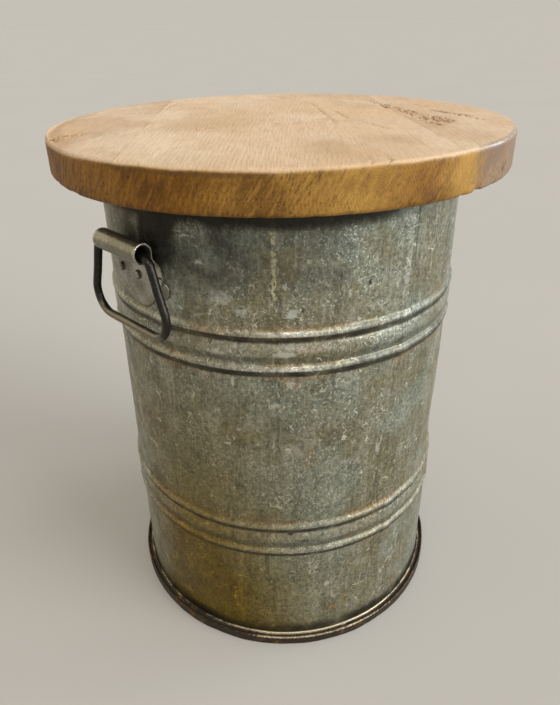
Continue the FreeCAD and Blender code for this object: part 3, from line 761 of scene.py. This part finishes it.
def build_shell():
    """Wall, bands, lap and rolled rim as one closed skin with dents."""
    plain = np.arange(0, 360, 1.0)
    plain = plain[(plain < LAP_START - 1) | (plain > LAP_END + 1)]
    seam = np.arange(LAP_START - 1, LAP_END + 1.1, 0.45)
    edge = np.array([LAP_END - 0.03, LAP_END + 0.06])
    degrees = np.unique(np.concatenate([plain, seam, edge, STREAK + np.array([-0.4, 0.4])]))

    outer = wall_heights(5.0 * MM, 1.4 * MM)
    inner = wall_heights(14.0 * MM, 3.5 * MM)[::-1]
    centre = (WALL + CURL_BORE, RIM)
    profile = np.concatenate([
        np.stack([WALL + swell(outer), outer], -1),
        arc_points(centre, CURL_BORE, 180, -90, 13),
        arc_points(centre, CURL_BORE + SHEET, -90, 180, 15),
        np.stack([WALL - SHEET + swell(inner), inner], -1),
    ])
    points = lathe(profile, degrees)
    outside = np.repeat(np.arange(len(profile)) < len(outer), len(degrees))
    azimuth = np.tile(degrees, len(profile))
    level = points[:, 2] / MM

    lap = smoothstep(LAP_START, LAP_START + 1.3, azimuth) * (azimuth < LAP_END) * outside
    lap = lap * (points[:, 2] > LAP_LOW) * (points[:, 2] < LAP_HIGH)
    lap = lap * SHEET * (0.85 + 0.15 * lattice_noise(points, 0.03, 3))
    # The dents and waves die out at the rim, the foot and the brackets
    calm = window(level, 20, 55, 470, 505)
    for side in SIDES.values():
        aside = np.abs(degrees_aside(azimuth, side))
        calm = calm * np.maximum(smoothstep(15, 24, aside), level < 395)
    waves = 0.45 * lattice_noise(points, 0.085, 11) + 0.20 * lattice_noise(points, 0.032, 12) - 0.35
    pits = 0.12 * lattice_noise(points, 0.009, 13)
    push = MM * (waves + pits - nearness(points, DENTS)) * calm
    points[:, :2] += unit(points[:, :2]) * (push + lap)[:, None]
    mesh_piece("barrel_skin", points, ring_faces(len(profile), len(degrees)), MATERIALS["zinc"],
               "barrel", "galvanised_sheet", ["barrel_shell"],
               **paint_shell(points, azimuth, outside))


def build_foot():
    """Channel-shaped foot hoop with two worn, slightly wavy lips."""
    degrees = np.arange(0, 360, 0.9)
    lip = WALL + FOOT_STEEL
    groove = FOOT_RADIUS - FOOT_STEEL
    half = FOOT_STEEL / 2
    profile = np.concatenate([
        [(FOOT_BORE, 0.0), (FOOT_RADIUS - 0.8 * MM, 0.0), (FOOT_RADIUS, 0.8 * MM)],
        [(FOOT_RADIUS, height * MM) for height in (3.5, 6.5, 9.5)],
        arc_points((FOOT_RADIUS - half, FOOT_RISE - half), half, 0, 180, 7),
        [(groove, DIRT + 0.4 * MM), (groove - 0.5 * MM, DIRT)],
        [(lip + 0.5 * MM, DIRT), (lip, DIRT + 0.4 * MM)],
        arc_points((lip - half, FOOT_RISE - half), half, 0, 180, 7),
        [(WALL + 0.05 * MM, FOOT_STEEL), (FOOT_BORE, FOOT_STEEL)],
    ])
    points = lathe(profile, degrees)
    level = points[:, 2] / MM
    outer = smoothstep(lip + 0.5 * MM, groove, np.hypot(points[:, 0], points[:, 1]))
    wander, ripple = patches(points, 0.035, 31), patches(points, 0.011, 32)
    sag = smoothstep(3, 12, level) * (1.5 * wander + 0.5 * ripple) * (0.5 + 0.5 * outer)
    points[:, 2] -= MM * sag
    points[:, :2] -= unit(points[:, :2]) * (MM * outer * (0.9 * wander + 0.35 * ripple))[:, None]

    top = smoothstep(9.8, 11.4, level) * (1 - 0.40 * outer)
    front = bells(azimuth_of(points), ((226, 20, 1.0), (252, 16, 0.7)))
    spots = 0.35 * patches(points, 0.03, 33) + 0.30 * patches(points, 0.007, 34)
    mesh_piece("foot_hoop", points, ring_faces(len(profile), len(degrees)), MATERIALS["foot"],
               "barrel", "rusted_steel", ["foot_ring"],
               wear=top * np.clip(0.12 + 0.50 * front + spots, 0, 1))


# ------------------------------------------------------------------ handles

def place_on_side(points, side):
    return turned(points, math.radians(SIDES[side]))


def bracket_outline():
    """Half of the flat bracket, from the tongue's tip up to the knuckle's lip, then mirrored."""
    neck = math.sqrt((TONGUE_RADIUS + 4 * MM) ** 2 - (6 * MM) ** 2)
    lobe_low = LOBE_UP - LOBE_RADIUS
    tongue = arc_points((0, TONGUE_UP), TONGUE_RADIUS, -90, -31, 16)
    lobe = arc_points((LOBE_OFFSET, LOBE_UP), LOBE_RADIUS, -125, 75, 22)
    waist = np.array([(KNUCKLE_HALF + 0.6 * MM, LOBE_UP + 10.5 * MM)])
    side = np.stack([np.full(24, KNUCKLE_HALF),
                     np.linspace(LOBE_UP + 13 * MM, strap_length(), 24)], -1)
    lip = np.stack([np.linspace(KNUCKLE_HALF - 2 * MM, 0, 15), np.full(15, strap_length())], -1)
    tongue = tongue[tongue[:, 0] < min(neck, LOBE_OFFSET - LOBE_RADIUS * 0.62)]
    lobe = lobe[lobe[:, 1] > lobe_low - 1 * MM]
    half = np.concatenate([tongue, lobe, waist, side, lip])
    mirrored = half[1:-1][::-1] * (-1, 1)
    return np.concatenate([half, mirrored])


def strap_path():
    """Back of the strap in a plane through the barrel's axis: distance out, and height.

    It leaves the wall, turns out to the knuckle and goes over and round it.
    """
    first, last = 195, -130
    angle = math.radians(first)
    start = np.array([WALL, STRAP_FOOT])
    reach = np.array([KNUCKLE_OUT + KNUCKLE_RADIUS * math.cos(angle),
                      KNUCKLE_UP + KNUCKLE_RADIUS * math.sin(angle)])
    heading = np.array([math.sin(angle), -math.cos(angle)])
    pull = 7.0 * MM
    controls = [start, start + (0, pull), reach - heading * pull, reach]
    part = np.linspace(0, 1, 14)[:-1, None]
    bend = sum(weight * (1 - part) ** (3 - power) * part ** power * point
               for power, (weight, point) in enumerate(zip((1, 3, 3, 1), controls)))
    roll = arc_points((KNUCKLE_OUT, KNUCKLE_UP), KNUCKLE_RADIUS, first, last, 44)
    flat = np.linspace(TONGUE_UP - 1.4 * TONGUE_RADIUS, STRAP_FOOT, 8)[:-1]
    return np.concatenate([np.stack([np.full(len(flat), WALL), flat], -1), bend, roll])


def strap_lengths(path):
    """Height-like measure along the strap: the true height on the wall, developed beyond it."""
    steps = np.linalg.norm(np.diff(path, axis=0), axis=1)
    return path[0, 1] + np.concatenate([[0], np.cumsum(steps)])


def strap_length():
    return strap_lengths(strap_path())[-1]


def bend_bracket(points):
    """Flat bracket (across, developed height, thickness) laid on the wall and rolled."""
    path = strap_path()
    lengths = strap_lengths(path)
    across, reach, depth = points.T
    along = unit(np.gradient(path, axis=0))
    out, up, along_out, along_up = (np.interp(reach, lengths, values)
                                    for values in (*path.T, *along.T))
    flat_x = out + depth * along_up
    flat_z = up - depth * along_out
    angle = across / WALL
    bent_x, bent_y = flat_x * np.cos(angle), flat_x * np.sin(angle)
    free = smoothstep(446 * MM, 469 * MM, reach)
    return np.stack([bent_x + (flat_x - bent_x) * free, bent_y + (across - bent_y) * free,
                     flat_z], -1)


def build_bracket(side):
    """Bracket plate: uneven in thickness, worn bright in places, painted lighter on the knuckle's
    front, and with painted shade on the knuckle's top and on each lobe.
    """
    flat, faces, _ = rounded_plate(partial(inward, bracket_outline()), 0.55 * MM, 0.02 * MM,
                                   BRACKET_STEEL, (3, 0), 1.7 * MM)
    uneven = 0.18 * MM * lattice_noise(flat, 0.012, 41 + len(side))
    flat[:, 2] -= smoothstep(0.5 * MM, 1.8 * MM, flat[:, 2]) * np.abs(uneven)

    aside = np.abs(flat[:, 0]) / MM
    reach = flat[:, 1] / MM
    to_lip = strap_length() / MM - reach
    rolled = smoothstep(12, 24, reach - STRAP_FOOT / MM)
    patchy = patches(flat, 0.016, 44)
    rim_edge = smoothstep(-1.8, -0.4, aside - KNUCKLE_HALF / MM)
    wear = np.maximum.reduce([
        0.70 * (1 - rolled) * (0.50 + 0.50 * patchy),
        # Painted light on the knuckle's front face, lighter than its top
        0.50 * window(to_lip, 13, 19, 32, 36) * (0.70 + 0.30 * patchy),
        0.60 * rim_edge * rolled])
    # Painted shade on the knuckle's top and on each lobe
    painted_knuckle_shade = window(to_lip, 34, 38, 48, 52) * (1 - rim_edge)
    painted_lobe_shade = smoothstep(25, 29, aside) * (reach < LOBE_UP / MM + 12)
    mesh_piece(f"bracket_plate_{side}", place_on_side(bend_bracket(flat), side), faces,
               MATERIALS["bracket"], "barrel", "bracket_steel", [f"handle_bracket_{side}"],
               sharp=60, wear=wear, grime=np.maximum(0.86 * painted_knuckle_shade, 0.46 * painted_lobe_shade))


def build_rivets(side):
    """Three rivets, each a lathe-turned closed form with a slightly uneven head."""
    columns = 24
    tail_seat, head_seat = WALL - SHEET, WALL + BRACKET_STEEL
    dome = [(RIVET_HEAD * math.cos(a), head_seat + RIVET_DOME * math.sin(a) ** 0.8)
            for a in np.radians((0, 14, 28, 42, 56, 68, 80))]
    tail = [(RIVET_HEAD * math.cos(a), tail_seat - RIVET_TAIL * math.sin(a))
            for a in np.radians((80, 60, 40, 20, 0))]
    profile = tail + [(RIVET_SHANK, tail_seat), (RIVET_SHANK, head_seat)] + dome
    angle = np.linspace(0, 2 * math.pi, columns, endpoint=False)
    blank = np.concatenate([
        np.stack([np.full(columns, out), radius * np.cos(angle), radius * np.sin(angle)], -1)
        for radius, out in profile])
    proud = smoothstep(head_seat, head_seat + RIVET_DOME, blank[:, 0])
    points, faces, wear = [], [], []
    # Lighter heads: rubbed metal and painted highlight, the third head the lightest
    for place, worn in ((-1, 0.65), (0, 0.65), (1, 0.90)):
        start = len(points) * len(blank)
        last = start + len(blank) - columns
        shift = blank + (place * 0.1, 0, 0)
        rivet = blank.copy()
        rivet[:, 0] -= 0.7 * MM * proud * np.abs(lattice_noise(shift, 0.004, 51))
        rivet[:, 1:] *= 1 - 0.08 * np.abs(lattice_noise(shift, 0.006, 52))[:, None]
        rivet[:, 2] += RIVET_UP
        points.append(turned(rivet, math.radians(place * RIVET_SPREAD)))
        wear.append(proud * worn)
        faces += [face[::-1] for face in ring_faces(len(profile), columns, start, closed=False)]
        faces += [tuple(range(start, start + columns)), tuple(range(last, last + columns))[::-1]]
    mesh_piece(f"rivet_row_{side}", place_on_side(np.concatenate(points), side), faces,
               MATERIALS["rivet"], "barrel", "rivet_steel", [f"bracket_rivets_{side}"], sharp=50,
               wear=np.concatenate(wear))


def bail_line():
    """Middle of the bar from the top's middle round one side to the grip's middle (across, up)."""
    grip = BAIL_PIVOT - BAIL_DROP
    flare = math.degrees(BAIL_FLARE)
    grip_half = BAIL_TOP_HALF + BAIL_DROP * math.tan(BAIL_FLARE)
    top_cut = BAIL_TOP_BEND * math.tan(math.radians(45 - flare / 2))
    grip_cut = BAIL_GRIP_BEND * math.tan(math.radians(45 + flare / 2))
    top = arc_points((BAIL_TOP_HALF - top_cut, BAIL_PIVOT - BAIL_TOP_BEND), BAIL_TOP_BEND,
                     90, flare, 9)
    low = arc_points((grip_half - grip_cut, grip + BAIL_GRIP_BEND), BAIL_GRIP_BEND,
                     flare, -90, 17)
    leg = top[-1] + np.linspace(0, 1, 16)[1:-1, None] * (low[0] - top[-1])
    straight = np.stack([np.linspace(0, top[0, 0], 12)[:-1], np.full(11, BAIL_PIVOT)], -1)
    base = np.stack([np.linspace(low[-1, 0], 0, 14)[1:], np.full(13, grip)], -1)
    return np.concatenate([straight, top, leg, low, base])


def build_bail(side):
    """Round bar swept round the bail's closed line, hand-bent and worn at the grip."""
    columns = 22
    half = bail_line()
    line = np.concatenate([half, half[1:-1][::-1] * (-1, 1)])
    path = np.column_stack([np.full(len(line), KNUCKLE_OUT), line])
    fallen = (BAIL_PIVOT - path[:, 2]) / MM
    drop = smoothstep(6, 30, fallen)
    bow = np.sin(np.clip(fallen / (BAIL_DROP / MM), 0, 1) * math.pi)
    path[:, 1] -= np.sign(path[:, 1]) * drop * bow * 1.1 * MM
    wobble = [lattice_noise(path, 0.028, seed + len(side)) for seed in (61, 62)]
    path[:, 1:] += drop[:, None] * 0.35 * MM * np.stack(wobble, -1)

    along = unit(np.roll(path, -1, axis=0) - np.roll(path, 1, axis=0))
    outward = np.array([1.0, 0.0, 0.0])
    angle = np.linspace(0, 2 * math.pi, columns, endpoint=False)[:, None]
    offsets = np.concatenate([ROD * (np.cos(angle) * outward + np.sin(angle) * beside)
                              for beside in np.cross(along, outward)])
    centres = np.repeat(path, columns, axis=0)
    low = np.repeat(drop, columns)
    hammered = 0.05 * low * np.abs(lattice_noise(centres + offsets, 0.009, 63))
    points = centres + offsets * (1 - hammered)[:, None]

    fallen = (BAIL_PIVOT - centres[:, 2]) / MM
    grip = smoothstep(-16, 0, fallen - BAIL_DROP / MM)
    patchy = patches(points, 0.014, 64)
    rubbed = smoothstep(0.0, ROD, points[:, 0] - KNUCKLE_OUT)
    wear = grip * (0.22 + 0.34 * rubbed + 0.25 * patchy) + 0.30 * low * patchy * rubbed
    lower_leg = smoothstep(26, 48, fallen) * (0.22 + 0.38 * rubbed) * (0.5 + 0.5 * patchy)
    mesh_piece(f"bail_bar_{side}", place_on_side(points, side), ring_faces(len(path), columns),
               MATERIALS["bail"], f"bail_{side}", "bail_steel", [f"bail_{side}"], sharp=60,
               wear=np.clip(np.maximum(wear, lower_leg), 0, 1))


# ------------------------------------------------------------------ lid

def joint_normal(joint):
    return np.array([math.cos(joint[0]), math.sin(joint[0])])


def crossing(radius, joint, end):
    """Where a joint line meets a circle, at the front (-1) or the back (+1)."""
    normal = joint_normal(joint)
    along = math.sqrt(radius ** 2 - joint[1] ** 2)
    return joint[1] * normal + end * along * np.array([-normal[1], normal[0]])


def moved(joint, distance):
    return joint[0], joint[1] + distance


def rim_arc(start, end, radius, count):
    """Points from start towards end, left out, counter-clockwise on the circle."""
    first = math.degrees(math.atan2(start[1], start[0]))
    last = math.degrees(math.atan2(end[1], end[0]))
    if last <= first:
        last += 360
    return arc_points((0, 0), radius, first, last, count + 1)[:-1]


def saw_line(start, end, count):
    part = np.linspace(0, 1, count + 1)[:-1, None]
    return start + part * (end - start)


def plank_loop(place, inset):
    """Counter-clockwise outline of one plank in the lid frame, less rounded along its joints."""
    long_arc, short_arc, chord = 330, 190, 110
    radius = LID_RADIUS - inset
    joint_inset = inset * JOINT_ARRIS / ARRIS + JOINT_GAP
    if place == "middle":
        left, right = moved(LEFT_JOINT, joint_inset), moved(RIGHT_JOINT, -joint_inset)
        ends = ((left, -1), (right, -1), (right, 1), (left, 1))
        first, second, third, fourth = (crossing(radius, joint, end) for joint, end in ends)
        return np.concatenate([
            rim_arc(first, second, radius, short_arc), saw_line(second, third, chord),
            rim_arc(third, fourth, radius, short_arc), saw_line(fourth, first, chord)])
    joint = moved(LEFT_JOINT, -joint_inset) if place == "left" else moved(RIGHT_JOINT, joint_inset)
    end = 1 if place == "left" else -1
    start, stop = crossing(radius, joint, end), crossing(radius, joint, -end)
    return np.concatenate([rim_arc(start, stop, radius, long_arc), saw_line(stop, start, chord)])


# Lid frame, mm: ends of each crack, half its width and its depth
CRACKS = [
    ((-222, -98), (-201, -89), 1.9, 3.4), ((-202, -89), (-181, -79), 1.1, 2.4),
    ((-214, -112), (-197, -104), 1.3, 2.2), ((-198, -104), (-184, -93), 0.8, 1.6),
    ((-218, -82), (-203, -77), 1.1, 2.0), ((-206, -98), (-190, -97), 0.7, 1.4),
    ((-78, -62), (-64, -52), 1.6, 2.4),
    ((38, 118), (54, -34), 0.55, 0.8), ((62, 44), (68, -6), 0.6, 0.9),
    ((70, -8), (101, -76), 0.5, 0.7), ((-8, -46), (16, -30), 0.6, 0.7),
    ((28, -18), (50, 4), 0.6, 0.7), ((-128, 140), (-136, 68), 0.6, 0.8),
    ((66, -211), (63, -225), 0.5, 0.8), ((80, -205), (77, -220), 0.6, 1.0),
]
# Lid frame, mm: middle, half width across, half length along, lean in degrees, depth
TEARS = [
    (112, 120, 6, 34, 8, 0.7), (124, 82, 9, 36, 10, 1.1), (138, 36, 11, 38, 14, 1.4),
    (155, -14, 15, 34, 20, 1.8), (146, -46, 6, 22, 24, 1.0), (172, 30, 6, 30, 26, 1.1),
    (186, 6, 6, 24, 30, 1.0), (196, -22, 4, 14, 30, 0.7), (160, 84, 5, 26, 10, 0.8),
    (-208, -88, 12, 9, 0, 1.6), (-190, -78, 10, 9, 30, 1.1), (8, -34, 34, 7, 0, 0.35),
    (60, -20, 30, 7, -30, 0.35),
]
# Lid frame, mm: middle, half width, half length and strength of each knot and stained place
KNOTS = [(104, -130, 13, 19.5, 1.0), (36, -146, 20, 30.0, 1.0), (150, 150, 9, 13.5, 1.0),
         (-60, 100, 8, 12.0, 1.0)]
TAN_MARKS = [(128, 70, 26, 80, 0.34), (-170, -70, 44, 50, 0.30), (-40, -70, 22, 12, 0.30),
             (30, -30, 40, 14, 0.26), (-120, 110, 40, 60, 0.26)]
# Lid azimuth in degrees, half width in degrees, depth in mm of flats sawn on the rim
FLATS = [(212, 13, 0.9), (262, 12, 0.5), (98, 10, 0.6), (318, 8, 0.9), (40, 14, 0.8)]


def crack_depth(points):
    """Depth of the cracks under each top point, in millimetres."""
    deepest = np.zeros(len(points))
    flat = points[:, :2] / MM
    wobble = 1.4 * lattice_noise(points, 0.006, 71)
    for start, end, half, depth in CRACKS:
        along = np.subtract(end, start).astype(float)
        length = np.linalg.norm(along)
        part = np.clip((flat - start) @ along / length ** 2, 0, 1)
        gap = flat - start - part[:, None] * along
        aside = gap @ np.array([-along[1], along[0]]) / length
        past = np.linalg.norm(gap, axis=1)
        distance = np.hypot(aside - wobble * (length > 12), past - np.abs(aside))
        narrow = half * (0.35 + 0.65 * np.sin(math.pi * np.clip(part, 0.04, 0.96)))
        deepest = np.maximum(deepest, depth * strip(distance / (narrow + 0.5), 0, 0.3, 1.0))
    return deepest


def tear_depth(points):
    """(depth in mm, amount) of torn grain under each top point."""
    depth, amount = np.zeros((2, len(points)))
    streaky = patches(points, (0.0018, 0.012, 1.0), 72)
    ragged = 0.35 * lattice_noise(points, 0.008, 73)
    for x, y, half_width, half_length, lean, deep in TEARS:
        cos, sin = math.cos(math.radians(lean)), math.sin(math.radians(lean))
        right, ahead = (points[:, :2] / MM - (x, y)).T
        distance = np.hypot((right * cos + ahead * sin) / half_width,
                            (ahead * cos - right * sin) / half_length) + ragged
        within = 1 - smoothstep(0.45, 1.05, distance)
        cut = within * smoothstep(0.35, 0.62, streaky)
        depth = np.maximum(depth, deep * cut)
        amount = np.maximum(amount, min(1.0, deep) * (0.55 * within + 0.45 * cut))
    return depth, amount


def mark_bells(points, marks):
    """The strongest of the bells (x, y, half width, half length, strength) at each point."""
    strongest = np.zeros(len(points))
    for x, y, across, along, strength in marks:
        distance = np.hypot((points[:, 0] / MM - x) / across, (points[:, 1] / MM - y) / along)
        strongest = np.maximum(strongest, strength * bell(distance, 0, 1))
    return strongest


def close_lattice():
    """Fine points over the lid's cracks and tears, with their spacing."""
    spacing = 1.1 * MM
    points = lattice((-LID_RADIUS, -LID_RADIUS), (LID_RADIUS, LID_RADIUS), spacing)
    solid = np.column_stack([points, np.full(len(points), LID_TOP)])
    needed = (crack_depth(solid) > 0.04) | (tear_depth(solid)[1] > 0.25)
    return [(points[needed], spacing)]


def carve_plank(points, place, depths):
    """Moves a new plank's points: sawn flats, chips and nicks on the rim, and the worn top.

    Returns how far each point belongs to the top, the cracks' depth and the torn grain's amount.
    """
    below, above, inset = depths
    azimuth = azimuth_of(points)
    near_rim = smoothstep(26, 2, inset)
    flats = np.zeros(len(points))
    for middle, half, depth in FLATS:
        flats = np.maximum(flats, depth * strip(degrees_aside(azimuth, middle) / half, 0, 0.0, 1.0))
    rough_saw = 0.25 * np.abs(lattice_noise(points, (0.05, 0.05, 0.5), 81))
    rough_saw = rough_saw + 0.22 * np.abs(lattice_noise(points, (0.006, 0.006, 0.05), 82))
    bites = smoothstep(0.05, 0.75, lattice_noise(points, (0.008, 0.008, 0.02), 83))
    chips = smoothstep(7, 1, above) * bites * (1.2 + 1.9 * window(azimuth, 300, 309, 328, 338))
    nicks = 0.5 * smoothstep(0.3, 0.9, lattice_noise(points, 0.012, 84))
    nicks = nicks + 2.2 * bell(azimuth, 201, 5) * patches(points, 0.006, 85)
    cut = MM * near_rim * (flats + rough_saw + chips + nicks * smoothstep(8, 0, below))
    radius = LID_RADIUS - inset * MM
    points[:, :2] *= (1 - cut / np.maximum(radius, 1 * MM))[:, None]
    if place == "middle":
        back = smoothstep(0, 40 * MM, points[:, 1]) * near_rim
        points[:, :2] *= (1 - 0.6 * MM * back / LID_RADIUS)[:, None]

    top = smoothstep(0.35 * ARRIS / MM, 0.02 * ARRIS / MM, below)
    worn = smoothstep(0.1, 0.8, lattice_noise(points, 0.05, 86))
    droop = smoothstep(12, 3, inset) * (0.05 + 0.6 * worn)
    droop = droop + 2.8 * bell(azimuth, 192, 27) * smoothstep(17, 2, inset)
    waves = 0.22 * patches(points, 0.070, 87) + 0.20 * patches(points, (0.007, 0.12, 1.0), 88)
    cracks = crack_depth(points)
    tears, torn = tear_depth(points)
    points[:, 2] -= MM * top * (droop + waves + cracks + tears)
    return top, cracks, torn * top


def paint_plank(points, azimuth, depths, on_side_rows, top, cracks):
    """A plank's stains, worn places, painted shade and painted reflection, under the names by which
    the timber reads them.
    """
    below, above, inset = depths
    arris = ARRIS / MM
    rubbed = bells(azimuth, ((208, 26, 1.0), (262, 30, 0.35)))
    rubbed = rubbed + 0.25 * lattice_noise(points, (0.02, 0.02, 0.2), 92)
    band = arris * (0.70 + 0.95 * np.clip(rubbed, 0, 1))
    side = smoothstep(0.35 * band, band, below) * (on_side_rows | (below > arris))
    under = smoothstep(0.6 * arris, 0, above)

    blots = smoothstep(0.1, 0.7, lattice_noise(points, 0.04, 89))
    stain = 0.75 * bell(below, 5.5, 2.2) * window(azimuth, 225, 240, 262, 280)
    stain = np.maximum(stain + 0.28 * side * blots, mark_bells(points, TAN_MARKS) * (1 - side))
    # Deep brown on the side: partly stain, partly painted shade
    deep = bells(azimuth, ((243, 18, 1.0), (218, 12, 0.55), (268, 10, 0.30), (300, 8, 0.80),
                           (291, 9, 0.16)))
    deep = side * (deep + 0.45 * smoothstep(60, 110, (azimuth - 250) % 360))
    # Glossy places on the right-hand rim, where the reflection is painted
    gloss_and_reflection = smoothstep(5, 2.5, inset) * window(azimuth, 309, 319, 337, 359)
    gold = bells(azimuth, ((287, 9, 0.55), (309, 4.5, 0.8)))
    gold = side * (gold + 0.3 * smoothstep(0.1, 0.9, lattice_noise(points, 0.05, 91)))
    nail = np.maximum(bell(azimuth, 325.3, 0.75) * bell(below, 24.9, 3),
                      bell(azimuth, 326.6, 0.5) * bell(below, 22.0, 2))
    flecks = smoothstep(0.35, 0.75, lattice_noise(points, (0.0025, 0.0025, 0.009), 90)) * side
    flecks = flecks * bells(azimuth, ((275, 3.5, 1.0), (286, 5, 0.7), (303, 7, 0.5)))
    crack = 0.8 * smoothstep(0.15, 2.4, cracks) * top + nail
    crack = crack + 0.8 * flecks * smoothstep(22, 6, below)
    clipped = dict(stain=stain, gold=gold, crack=crack, deep=deep, gloss_and_reflection=gloss_and_reflection)
    return dict(side=np.maximum(side, under), knot=mark_bells(points, KNOTS),
                **{label: np.clip(values, 0, 1) for label, values in clipped.items()})


def build_plank(place, pith, seed_shift, early, late):
    """One board of the lid: rounded and chipped rim, cracks, tears and a soft wavy top."""
    points, faces, rim_count = rounded_plate(partial(plank_loop, place), ARRIS, LID_LOW, LID_TOP,
                                             (7, 12), 2.6 * MM, fine=close_lattice(),
                                             fill_low=False)
    azimuth = azimuth_of(points)
    radius = np.hypot(points[:, 0], points[:, 1])
    # Millimetres below the top, above the underside and in from the rim, before any carving
    depths = np.stack([LID_TOP - points[:, 2], points[:, 2] - LID_LOW, LID_RADIUS - radius]) / MM
    top, cracks, torn = carve_plank(points, place, depths)
    on_side_rows = np.arange(len(points)) < rim_count
    paint = paint_plank(points, azimuth, depths, on_side_rows, top, cracks)
    mesh_piece(f"plank_{place}", turned(points, LID_TURN), faces,
               timber(f"plank_{place}", pith, seed_shift, early, late), "lid", "plank_wood",
               [f"lid_board_{place}"], sharp=42, torn=torn, **paint)


def batten_loop(offset, inset):
    """Outline of a batten, whose ends follow the barrel's mouth."""
    long_side, short_side = 150, 22
    limit = BATTEN_REACH - inset
    near, far = offset - BATTEN_HALF + inset, offset + BATTEN_HALF - inset
    corners = [np.array([end * math.sqrt(limit ** 2 - y ** 2), y])
               for end, y in ((-1, near), (1, near), (1, far), (-1, far))]
    return np.concatenate([
        saw_line(corners[0], corners[1], long_side),
        rim_arc(corners[1], corners[2], limit, short_side),
        saw_line(corners[2], corners[3], long_side),
        rim_arc(corners[3], corners[0], limit, short_side)])


def build_batten(place, offset):
    """Sawn batten under the planks, its edges eased and its ends cut round."""
    points, faces, _ = rounded_plate(partial(batten_loop, offset), 1.6 * MM, BATTEN_LOW, LID_LOW,
                                     (4, 6), 5.0 * MM)
    uneven = patches(points, (0.05, 0.010, 0.010), 95)
    points[:, 1] -= np.sign(points[:, 1] - offset) * uneven * 0.45 * MM
    low = smoothstep(BATTEN_LOW + 3 * MM, BATTEN_LOW, points[:, 2])
    points[:, 2] += low * uneven * 0.4 * MM
    material = timber(f"batten_{place}", (offset, BATTEN_LOW - 0.04), offset,
                      (0.420, 0.300, 0.165), (0.240, 0.145, 0.062), painted=False)
    mesh_piece(f"batten_{place}", turned(points, LID_TURN), faces, material, "lid", "batten_wood",
               [f"lid_batten_{place}"], sharp=42)


# ------------------------------------------------------------------ studio

WORLD = (0.56, 0.53, 0.47)
# azimuth, elevation, strength, spread and colour of each distant soft light
LAMPS = {
    "window_right": (290, 20, 3.20, 42, (0.93, 0.97, 1.0)),
    "window_behind": (332, 18, 1.50, 34, (0.82, 0.92, 1.0)),
    "glow_left": (122, 14, 0.80, 70, (1.0, 0.88, 0.68)),
    "overhead": (229, 48, 1.15, 12, (1.0, 0.97, 0.92)),
}


def build_floor():
    """Plain pale floor whose far end is as bright as the world, so no horizon shows."""
    half = 80.0
    mesh = bpy.data.meshes.new("floor")
    mesh.from_pydata([(-half, -half, 0), (half, -half, 0), (half, half, 0), (-half, half, 0)], [],
                     [(0, 1, 2, 3)])
    colour = []
    for channel, sky in enumerate(WORLD):
        lamps = sum(strength * math.sin(math.radians(rise)) * tint[channel]
                    for _, rise, strength, _, tint in LAMPS.values())
        colour.append(sky / (sky + lamps / math.pi))
    g = Graph("pale_floor")
    cloud = g.noise(0.6, detail=3.0)
    colour = g.mix(cloud, scaled(colour, 0.97), scaled(colour, 1.03))
    mesh.materials.append(g.finish(Base_Color=colour, Roughness=1.0, Specular_IOR_Level=0.0))
    floor = new_object("floor", mesh)


def build_light():
    """Even world light and the distant soft lights."""
    world = bpy.data.worlds.new("studio")
    world.use_nodes = True
    background = world.node_tree.nodes["Background"]
    background.inputs["Color"].default_value = WORLD + (1.0,)
    background.inputs["Strength"].default_value = 1.0
    bpy.context.scene.world = world
    for name, (azimuth, rise, strength, spread, colour) in LAMPS.items():
        light = bpy.data.lights.new(name, "SUN")
        light.energy = strength
        light.angle = math.radians(spread)
        light.color = colour
        lift = math.radians(rise)
        towards = Vector(around(math.cos(lift), azimuth, math.sin(lift)))
        lamp = new_object(name, light)
        lamp.rotation_euler = towards.to_track_quat("Z", "Y").to_euler()
        lamp.location = towards * 3
    bpy.context.scene.view_settings.view_transform = "Standard"


def build_camera():
    """Camera at the viewing angle: level heading, pitch down, slight roll, small shift."""
    pitch, roll, yaw = math.radians(27.64), math.radians(-1.20), math.radians(-1.05)
    right = Vector((math.cos(yaw), -math.sin(yaw), 0))
    ahead = Vector((math.sin(yaw), math.cos(yaw), 0))
    forward = ahead * math.cos(pitch) - Vector((0, 0, math.sin(pitch)))
    upward = ahead * math.sin(pitch) + Vector((0, 0, math.cos(pitch)))
    camera_right = right * math.cos(roll) + upward * math.sin(roll)
    camera_up = upward * math.cos(roll) - right * math.sin(roll)
    axes = Matrix((camera_right, camera_up, -forward)).transposed().to_4x4()
    data = bpy.data.cameras.new("camera")
    data.sensor_width = 36.0
    data.lens = 30.75
    data.shift_x, data.shift_y = 0.0111, -0.0285
    camera = new_object("camera", data)
    stand = Matrix.Translation(Vector((0, -2.824, 2.829)) * LID_RADIUS)
    camera.matrix_world = Matrix.Rotation(LID_TURN, 4, "Z") @ stand @ axes
    bpy.context.scene.camera = camera


def dress_cad_nodes():
    """Materials for the CAD nodes whose own shape is right."""
    for node, material in (("bottom_disc", "zinc_inside"), ("rim_wire", "wire"),
                           ("batten_screws_front", "screw"), ("batten_screws_back", "screw")):
        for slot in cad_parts[node].material_slots:
            slot.material = MATERIALS[material]


build_shell()
build_foot()
for side in SIDES:
    build_bracket(side)
    build_rivets(side)
    build_bail(side)
build_plank("left", (-20 * MM, 500 * MM), 0.31, (0.525, 0.358, 0.228), (0.385, 0.245, 0.135))
build_plank("middle", (67 * MM, 513 * MM), 0.0, (0.605, 0.430, 0.280), (0.435, 0.285, 0.155))
build_plank("right", (330 * MM, 490 * MM), 0.57, (0.575, 0.405, 0.262), (0.420, 0.270, 0.148))
for place, sign in (("front", -1), ("back", 1)):
    build_batten(place, sign * BATTEN_OFFSET)
dress_cad_nodes()
build_floor()
build_light()
build_camera()
